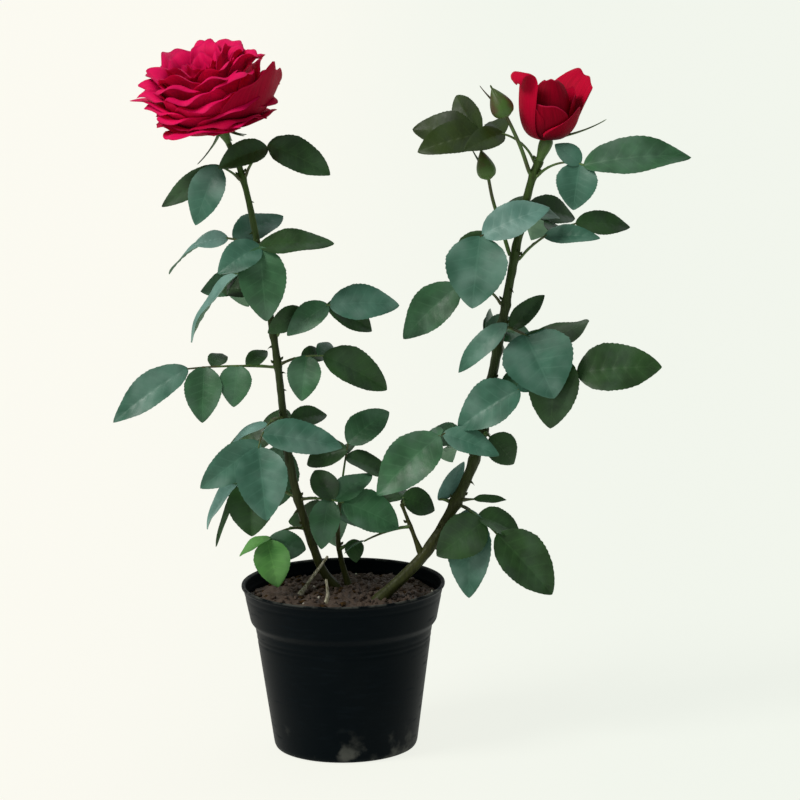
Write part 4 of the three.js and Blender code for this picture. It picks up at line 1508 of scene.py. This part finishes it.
                # the tone picks a lit or shaded copy of the green: painted light and shade
                tone = Tone(letter)
                sides = (tones.index(tone), len(tones) + unders.get(tone, 0))
                groups[where].sheet(surface, self.thickness + rib, sides)
        finishes = [*(LEAF_TONES[tone] for tone in tones), LEAF_UNDER, YOUNG_UNDER, OLIVE_UNDER]
        stalks.piece("leaf_stalks", [STALK_SKIN], "green_bark", [])
        for name, slot in (("left", "leaf_green"), ("right", "leaf_green"), ("young", "young_leaf")):
            groups[name].piece(f"foliage_{name}", finishes, slot, nodes[name])


# ---------------------------------------------------------------- blooms and buds


FINE = np.linspace(0, 1.2, 241)  # shares at which a petal's line is worked out
FINE_STEP = 0.005  # between two of them


@dataclass(frozen=True)
class Petal:
    """One petal: where its rim would stand without a roll, and how its line leaves its root and arrives.

    Angles are taken from the flower's axis. The rim rolls outwards by a further angle, the sides curl out,
    and the rim may be drawn to a point.
    """

    bearing: float
    radius: float
    height: float
    width: float
    root_angle: float
    tip_angle: float
    roll: float = 40.0
    roll_from: float = 0.7
    point: float = 0.04
    notch: float = 0.08
    skew: float = 0.0
    ruffle: float = 1.6
    side_curl: float = 2.5
    widest: float = 60.0
    phase: float = 0.0
    foot: float = 0.0
    start: float = 1.0

    def line(self) -> tuple[Array, Array, Array]:
        """The petal's line, for shares from 0 to 1.2.

        A cubic with handles of 0.42 of its chord joins root and rim. Its angle is held past the rim, the
        roll times ease(share) is added, and the steps are added up again from the angle's sine and cosine.

        Returns:
            Radius, height, and angle from the axis, at each of the shares.
        """
        share = np.minimum(FINE, 1)[:, None]
        root, rim = np.array([self.start, self.foot]), np.array([self.radius, self.height])
        handle = 0.42 * np.linalg.norm(rim - root)
        leave, arrive = np.radians(self.root_angle), np.radians(self.tip_angle)
        second = root + handle * np.array([np.sin(leave), np.cos(leave)])
        third = rim - handle * np.array([np.sin(arrive), np.cos(arrive)])
        slope = 3 * ((1 - share) ** 2 * (second - root) + 2 * share * (1 - share) * (third - second)
                     + share**2 * (rim - third))
        angle = np.arctan2(slope[:, 0], slope[:, 1])
        angle = angle + math.radians(self.roll) * ease(FINE, self.roll_from, 1.04)
        steps = np.linalg.norm(slope, axis=1) * FINE_STEP
        radius = self.start + np.concatenate([[0], np.cumsum(np.sin(angle[:-1]) * steps[:-1])])
        height = self.foot + np.concatenate([[0], np.cumsum(np.cos(angle[:-1]) * steps[:-1])])
        return radius, height, angle

    def surface(self, at: Array, axis: Array, stations: int = 30, columns: int = 23) -> Array:
        """The petal's surface: across, it wraps round the axis by v · half / radius, and waves near the rim.

        Args:
            at: Where the flower's petals are rooted.
            axis: Unit direction of the flower.
            stations: Rows of points, from root to rim.
            columns: Columns of points.

        Returns:
            Points by row and by column.
        """
        radius, height, angle = self.line()
        u = np.linspace(0, 1, stations)[:, None]
        v = np.linspace(-1, 1, columns)[None, :]
        v = np.sin(v * np.pi / 2) * 0.25 + v * 0.75
        reach = 1 - self.notch * v**2 - 0.08 * v**8 + self.point * np.exp(-(((v - 0.06) / 0.22) ** 2))
        reach = reach + self.skew * v + 0.012 * np.sin(9 * v + 2 * self.phase)
        share = u * (1 + (reach - 1) * u**2)
        line_radius, line_height, lean = (np.interp(share, FINE, value) for value in (radius, height, angle))
        half = self.width / 2 * (0.28 + 0.72 * np.sin(np.pi / 2 * np.minimum(1, 1.25 * u)))
        half = half * (1 - 0.12 * ease(u, 0.8, 1.0))
        wave = np.sin(3.1 * v + self.phase) + 0.5 * np.sin(7.3 * v + 2.1 * self.phase + 3 * u)
        wave = self.ruffle * u**3 * wave + self.side_curl * np.abs(v) ** 3 * u**2
        turn = math.radians(self.bearing) - v * np.minimum(half / line_radius, math.radians(self.widest))
        out, rise = line_radius + wave * np.cos(lean), line_height - wave * np.sin(lean)
        return at + rise[..., None] * axis + out[..., None] * around(axis, turn)


@dataclass(frozen=True)
class Ring:
    """A ring of like petals: how many, the first one's bearing, and their shape."""

    count: int
    first: float
    shape: dict[str, float]

    def petals(self, rng: np.random.Generator) -> list[Petal]:
        """The ring's petals, each a little different from the next. They stand higher towards bearing 80.

        Args:
            rng: Source of the differences.

        Returns:
            The petals.
        """
        made = []
        for i in range(self.count):
            shape = dict(self.shape)
            bearing = self.first + 360 / self.count * i + rng.uniform(-8, 8)
            shape["height"] *= rng.uniform(0.94, 1.03) * (1 + 0.05 * math.cos(math.radians(bearing - 80)))
            shape["radius"] *= rng.uniform(0.92, 1.0)
            shape["tip_angle"] += rng.uniform(-5, 5)
            shape["roll"] += rng.uniform(-9, 9)
            shape["phase"] = rng.uniform(0, 6.28)
            shape["skew"] = rng.uniform(-0.05, 0.05)
            shape["point"] = rng.uniform(0, 0.06)
            made.append(Petal(bearing=bearing, **shape))
        return made


def shape(radius: float, height: float, width: float, root_angle: float, tip_angle: float, roll: float,
          **more: float) -> dict[str, float]:
    """The shape of a ring's petals as named values."""
    return {"radius": radius, "height": height, "width": width, "root_angle": root_angle,
            "tip_angle": tip_angle, "roll": roll, "roll_from": 0.76, **more}


@dataclass(frozen=True)
class Calyx:
    """The green parts under a flower: the hip and five sepals."""

    lean: tuple[float, float]
    neck: float
    hip: float
    sepals: tuple[tuple[float, float, float], ...]

    def head(self, limb: Limb) -> Array:
        """Where the petals are rooted."""
        return limb.line.at(1.0) + limb.line.tangent(1.0) * (0.3 + self.neck)

    def build(self, skin: Skin, limb: Limb) -> None:
        """Adds a pear-shaped hip on the cane's tip, and the sepals round its top.

        Args:
            skin: The piece that they join.
            limb: The cane.
        """
        tip, along = limb.line.at(1.0), limb.line.tangent(1.0)
        t = np.linspace(0, 1, 16)
        swell = limb.tip_radius + (self.hip - limb.tip_radius) * ease(t, 0.0, 0.7)
        profile = np.stack([swell * (1 - 0.25 * ease(t, 0.8, 1.0)), self.neck * 1.12 * t - 0.4], axis=1)
        skin.rings(lathe_rings(profile, 20, tip, along), (tip - along * 0.5, tip + along * self.neck * 1.13))
        at = self.head(limb) - along
        for bearing, length, rise in self.sepals:
            skin.sheet(sepal(at, along, bearing, rise, length), 0.7)


def sepal(at: Array, axis: Array, bearing: float, rise: float, length: float, half: float = 2.3,
          curl: float = 25.0) -> Array:
    """A narrow leaf-like blade with a long thin tip.

    Args:
        at: Its root.
        axis: Unit direction of the flower or bud.
        bearing: Side of the axis that it leans to, in degrees.
        rise: Angle from square to the axis, towards it, in degrees.
        length: Its length.
        half: Greatest half width.
        curl: Angle that it bends by, in degrees.

    Returns:
        Points by row and by column.
    """
    outward = around(axis, np.radians(bearing))
    climb = math.radians(rise)
    heading = outward * math.cos(climb) + axis * math.sin(climb)
    normal = axis * math.cos(climb) - outward * math.sin(climb)
    u = np.linspace(0, 1, 22)[:, None]
    v = np.linspace(-1, 1, 7)[None, :]
    width = 0.35 + half * np.sin(np.pi * np.minimum(1, 0.3 + 0.75 * u)) ** 1.2 * (1 - 0.3 * u)
    across = v * width
    return arched(at, heading, normal, length, curl, across, 0.35 * np.abs(across))


def egg(share: Array, girth: float) -> Array:
    """Radius of an egg at shares of its length: girth · sin(π s^0.72)^0.8 · (1 − 0.35 s)."""
    swell = np.maximum(0, np.sin(np.pi * np.clip(share, 0, 1) ** 0.72)) ** 0.8
    return girth * swell * (1 - 0.35 * share)


@dataclass
class Blooms:
    """The open bloom on the left cane, the half-open one on the right cane, and two green buds."""

    canes: Canes
    petal: float = 0.7  # greatest thickness of a petal
    sepal: float = 0.5  # greatest thickness of a bud's sepal

    OPEN = Calyx((-160, 71), 12.5, 4.2, (
        (-172, 32, -44), (-20, 18, -52), (28, 20, -48), (85, 26, -40), (140, 28, -40),
    ))
    HALF_OPEN = Calyx((20, 86), 17, 5, (
        (2, 46, 26), (-30, 17, 62), (60, 26, 14), (110, 22, 20), (165, 12, 40),
    ))
    OPEN_RINGS = (
        Ring(5, 20, shape(41, 9, 62, 92, 62, 58)),
        Ring(5, 56, shape(43, 20, 64, 92, 34, 95)),
        Ring(5, 15, shape(42, 30, 64, 92, 14, 118, ruffle=2.2)),
        Ring(5, 44, shape(41, 41, 60, 90, 4, 122, ruffle=2.6)),
        Ring(6, 8, shape(38, 50, 54, 86, 0, 120, ruffle=2.8)),
        Ring(6, 50, shape(33, 56, 48, 78, -2, 108, ruffle=2.8, foot=1)),
        Ring(5, 22, shape(26, 58, 44, 66, -6, 92, ruffle=2.6, foot=2)),
        Ring(5, 66, shape(18, 57, 34, 55, -10, 70, ruffle=2.2, foot=3)),
        Ring(5, 20, shape(10, 53, 22, 42, -12, 48, ruffle=1.6, foot=5)),
        Ring(4, 50, shape(4, 48, 13, 26, -12, 26, ruffle=0.8, foot=6)),
    )
    GUARDS = (
        Petal(-38, 51, 42, 70, 100, 12, roll=24, point=0.14, ruffle=1.0, side_curl=1.0),
        Petal(-70, 44, 12, 50, 100, 62, roll=36, point=0.08, ruffle=1.5, side_curl=1.5),
        Petal(178, 53, 34, 58, 92, 52, roll=36, point=0.08, ruffle=1.5, side_curl=2.0),
        Petal(-128, 47, 12, 66, 96, 52, roll=64, point=0.02, ruffle=2.2, side_curl=1.5),
        Petal(170, 37, 52, 56, 90, 0, roll=80, point=0.0, ruffle=2.0, side_curl=1.5),
        Petal(128, 33, 60, 54, 84, -4, roll=70, point=0.0, ruffle=2.0, side_curl=1.5),
    )
    STRAP = Petal(-146, 20, 64, 23, 98, -3, roll=240, roll_from=0.73, point=0.0, notch=0.06, ruffle=0.2,
                  side_curl=1.0, widest=50)
    HALF_PETALS = (
        Petal(42, 36, 45, 46, 97, 50, roll=10, roll_from=0.8, point=0.01, notch=0.02, skew=-0.14, ruffle=1.2,
              side_curl=0.6, widest=60),
        Petal(84, 17, 38, 40, 94, 4, roll=30, ruffle=0.9, side_curl=1.5),
        Petal(136, 18, 25, 40, 94, 0, roll=20, ruffle=0.8, side_curl=1.0),
        Petal(-16, 22, 24, 60, 98, -2, roll=8, notch=0.55, ruffle=0.4, side_curl=1.2, widest=88),
        Petal(-112, 20, 27, 48, 97, -6, roll=5, point=0.0, ruffle=0.5, side_curl=0.6, widest=74),
        Petal(-168, 21, 29, 46, 98, -4, roll=3, ruffle=0.3, side_curl=0.4, widest=66),
        Petal(30, 17, 36, 44, 95, -10, roll=8, ruffle=0.3, side_curl=0.4, widest=75),
        Petal(-76, 5, 44, 52, 95, -48, roll=0, point=0.0, notch=0.06, ruffle=0.2, side_curl=0.3, widest=88),
        Petal(150, 6, 42, 46, 93, -40, roll=0, point=0.0, notch=0.1, ruffle=0.3, side_curl=0.3, widest=88),
        Petal(50, 5, 42, 42, 90, -40, roll=0, point=0.0, notch=0.1, ruffle=0.3, side_curl=0.3, widest=88),
        Petal(-100, 3, 40, 40, 80, -34, roll=0, point=0.0, ruffle=0.2, side_curl=0.0, widest=95),
        Petal(100, 3, 40, 34, 70, -30, roll=0, point=0.0, ruffle=0.2, side_curl=0.0, widest=100),
    )
    BUDS = {
        "bud_upper": ("cane_right", 424, [(135, 8, 443), (129, 1, 458), (124, -2, 469)], (1.4, 1.3),
                      (176, 64), (24, 9.2)),
        "bud_lower": ("cane_right", 364, [(120, 19, 384), (114, 21, 404), (111, 21, 420)], (1.4, 1.2),
                      (185, 76), (22.5, 7.6)),
    }

    def open_bloom(self) -> None:
        """Makes the open bloom's petals. Those of the two lowest rings are darker, as painted shade under
        the bloom.
        """
        skin = Skin()
        rng = np.random.default_rng(3)
        head = self.OPEN.head(self.canes.limbs["cane_left"])
        bearing, rise = self.OPEN.lean
        for number, ring in enumerate(self.OPEN_RINGS):
            axis = aim(bearing, rise + max(0.0, 10.0 - 2.5 * number))
            # the lowest rings take the darker finishes: painted shade under the bloom
            sides = (2 if number < 1 else 0, 3 if number < 2 else 1)
            for petal in ring.petals(rng):
                skin.sheet(petal.surface(head, axis), self.petal, sides)
        for petal in self.GUARDS:
            # guard petals' backs darker: painted shade
            skin.sheet(petal.surface(head, aim(bearing, rise + 10)), self.petal, (2, 1))
        finishes = [PETAL_BACK, PETAL_FACE, GUARD_BACK, PETAL_LOW]
        skin.piece("petals_open", finishes, "open_petals", ["bloom_open"])

    def half_open_bloom(self) -> None:
        """Makes the half-open bloom's petals."""
        skin = Skin()
        head = self.HALF_OPEN.head(self.canes.limbs["cane_right"])
        axis = aim(*self.HALF_OPEN.lean)
        for petal in self.HALF_PETALS:
            skin.sheet(petal.surface(head, axis), self.petal, (0, 1))
        skin.sheet(self.STRAP.surface(head, axis, 40), self.petal, (1, 1))
        # darker finishes: painted shade on the bloom's front
        skin.piece("petals_half_open", [DARK_BACK, DARK_FACE], "closed_petals", ["bloom_half_open"])

    def bud(self, skin: Skin, name: str) -> None:
        """Adds a bud: its stalk, an egg of folded petals, five sepals that wrap it, and a loose one.

        Args:
            skin: The piece that it joins.
            name: Its name in the table of buds.
        """
        on, height, knots, radius, lean, (length, girth) = self.BUDS[name]
        line = self.canes.side_line(on, height, knots)
        middle = self.canes.limbs[on].line.at(self.canes.limbs[on].line.share_at(height))
        points = np.vstack([middle, line.even(20)])
        radii = np.linspace(radius[0] + 0.2, radius[1], 21)
        skin.rings(tube_rings(points, radii, 12, np.array([0, 1.0, 0])), (points[0], points[-1]))
        at, axis = points[-1], aim(*lean)
        t = np.linspace(0.01, 0.99, 24)
        profile = np.stack([np.maximum(egg(t, girth) * 0.93, 0.15), length * t - 1], axis=1)
        skin.rings(lathe_rings(profile, 28, at, axis), (at - axis, at + axis * (length - 1)))
        u = np.linspace(0, 1, 26)[:, None]
        v = np.linspace(-1, 1, 11)[None, :]
        for i in range(5):
            reach = 1.12 if i % 2 else 1.0
            share = 0.1 + (0.9 * reach) * u
            out = np.maximum(egg(share, girth), 0.5) + 0.25 * (i % 2) + 0.2 * (1 - v**2)
            width = np.radians(44) * np.sin(np.pi * (0.22 + 0.78 * u)) ** 0.7 + 0.25 * u
            turn = np.radians(20 + 72 * i) - v * width
            rise = length * share - 1 + 0 * v
            surface = at + rise[..., None] * axis + out[..., None] * around(axis, turn)
            skin.sheet(surface, self.sepal, (1, 1))
        skin.sheet(sepal(at + axis * 2, axis, 150, 66, length * 1.15, 1.6, 12), self.sepal, (1, 1))

    def build(self) -> None:
        """Makes both blooms, their green parts and the buds."""
        self.open_bloom()
        self.half_open_bloom()
        green = Skin()
        self.OPEN.build(green, self.canes.limbs["cane_left"])
        self.HALF_OPEN.build(green, self.canes.limbs["cane_right"])
        green.piece("hips_and_sepals", [SEPAL_SKIN], "green_bark", [])
        buds = Skin()
        for name in self.BUDS:
            self.bud(buds, name)
        buds.piece("green_buds", [STALK_SKIN, BUD_SKIN], "bud_green", list(self.BUDS))


# ---------------------------------------------------------------- studio


@dataclass(frozen=True)
class Studio:
    """A pale floor, soft light and the camera."""

    distance: float = 3500.0  # from the camera to its target
    target: tuple[float, float, float] = (44.0, 0.0, 260.7)
    elevation: float = 12.1
    roll: float = 0.9
    pixel: float = 0.731  # millimetres that a pixel covers at the target
    pixels: int = 800
    sensor: float = 36.0
    floor_size: float = 60000.0
    surround: str = "#f2f5f2"
    surround_strength: float = 0.38

    def camera(self) -> None:
        """Makes the camera: it looks along +Y and down by the elevation, turned a little about its line."""
        tilt, roll = math.radians(self.elevation), math.radians(self.roll)
        forward = np.array([0, math.cos(tilt), -math.sin(tilt)])
        right = np.array([1.0, 0, 0])
        up = np.cross(right, forward)
        across = right * math.cos(roll) - up * math.sin(roll)
        upright = up * math.cos(roll) + right * math.sin(roll)
        data = bpy.data.cameras.new("camera")
        data.sensor_width = self.sensor
        data.lens = self.sensor * self.distance / self.pixel / self.pixels
        camera = placed("camera", data)
        axes = np.stack([across, upright, -forward], axis=1)
        place = (np.array(self.target) - forward * self.distance) * MM
        camera.matrix_world = Matrix([[*axes[i], place[i]] for i in range(3)] + [[0, 0, 0, 1]])
        bpy.context.scene.camera = camera

    def sun(self, name: str, towards: tuple[float, float, float], spread: float, strength: float,
            colour: str) -> None:
        """Adds an even light from far away.

        Args:
            name: Its name.
            towards: Direction in which it stands.
            spread: How wide it looks, in degrees. A wide one gives soft shadows.
            strength: Its strength, in watts for each square metre.
            colour: Its colour.
        """
        data = bpy.data.lights.new(name, "SUN")
        data.angle, data.energy, data.color = math.radians(spread), strength, linear(colour)[:3]
        back = unit(np.array(towards, float))
        first, second = cross_axes(back)
        axes = np.stack([first, second, back], axis=1)
        placed(name, data).matrix_world = Matrix([[*row, 0] for row in axes] + [[0, 0, 0, 1]])

    def floor(self) -> None:
        """Makes the floor, a large flat sheet."""
        half = self.floor_size / 2 * MM
        mesh = bpy.data.meshes.new("floor")
        corners = [(-half, -half, 0), (half, -half, 0), (half, half, 0), (-half, half, 0)]
        mesh.from_pydata(corners, [], [(0, 1, 2, 3)])
        mesh.materials.append(PaleFloor("paper_sweep").material())
        placed("floor", mesh)

    def world(self) -> None:
        """Sets an even pale surround."""
        world = bpy.data.worlds.new("surround")
        world.use_nodes = True
        background = world.node_tree.nodes["Background"]
        background.inputs["Color"].default_value = linear(self.surround)
        background.inputs["Strength"].default_value = self.surround_strength
        bpy.context.scene.world = world

    def build(self) -> None:
        """Sets up camera, floor and lights."""
        self.camera()
        self.floor()
        self.world()
        self.sun("key", (-0.75, -0.42, 0.9), 24, 2.2, "#fffdf8")
        self.sun("back", (0.5, 0.8, 0.7), 60, 0.5, "#f0f6ff")
        bpy.context.scene.view_settings.view_transform = "Standard"


def main() -> None:
    logging.basicConfig(level=logging.INFO, format="%(message)s")
    Studio().build()
    pot = Pot()
    pot.build()
    mound = Mound(pot)
    mound.build()
    canes = Canes(mound)
    canes.build(LEAVES)
    Foliage(canes).build()
    Blooms(canes).build()


if __name__ == "__main__":
    main()
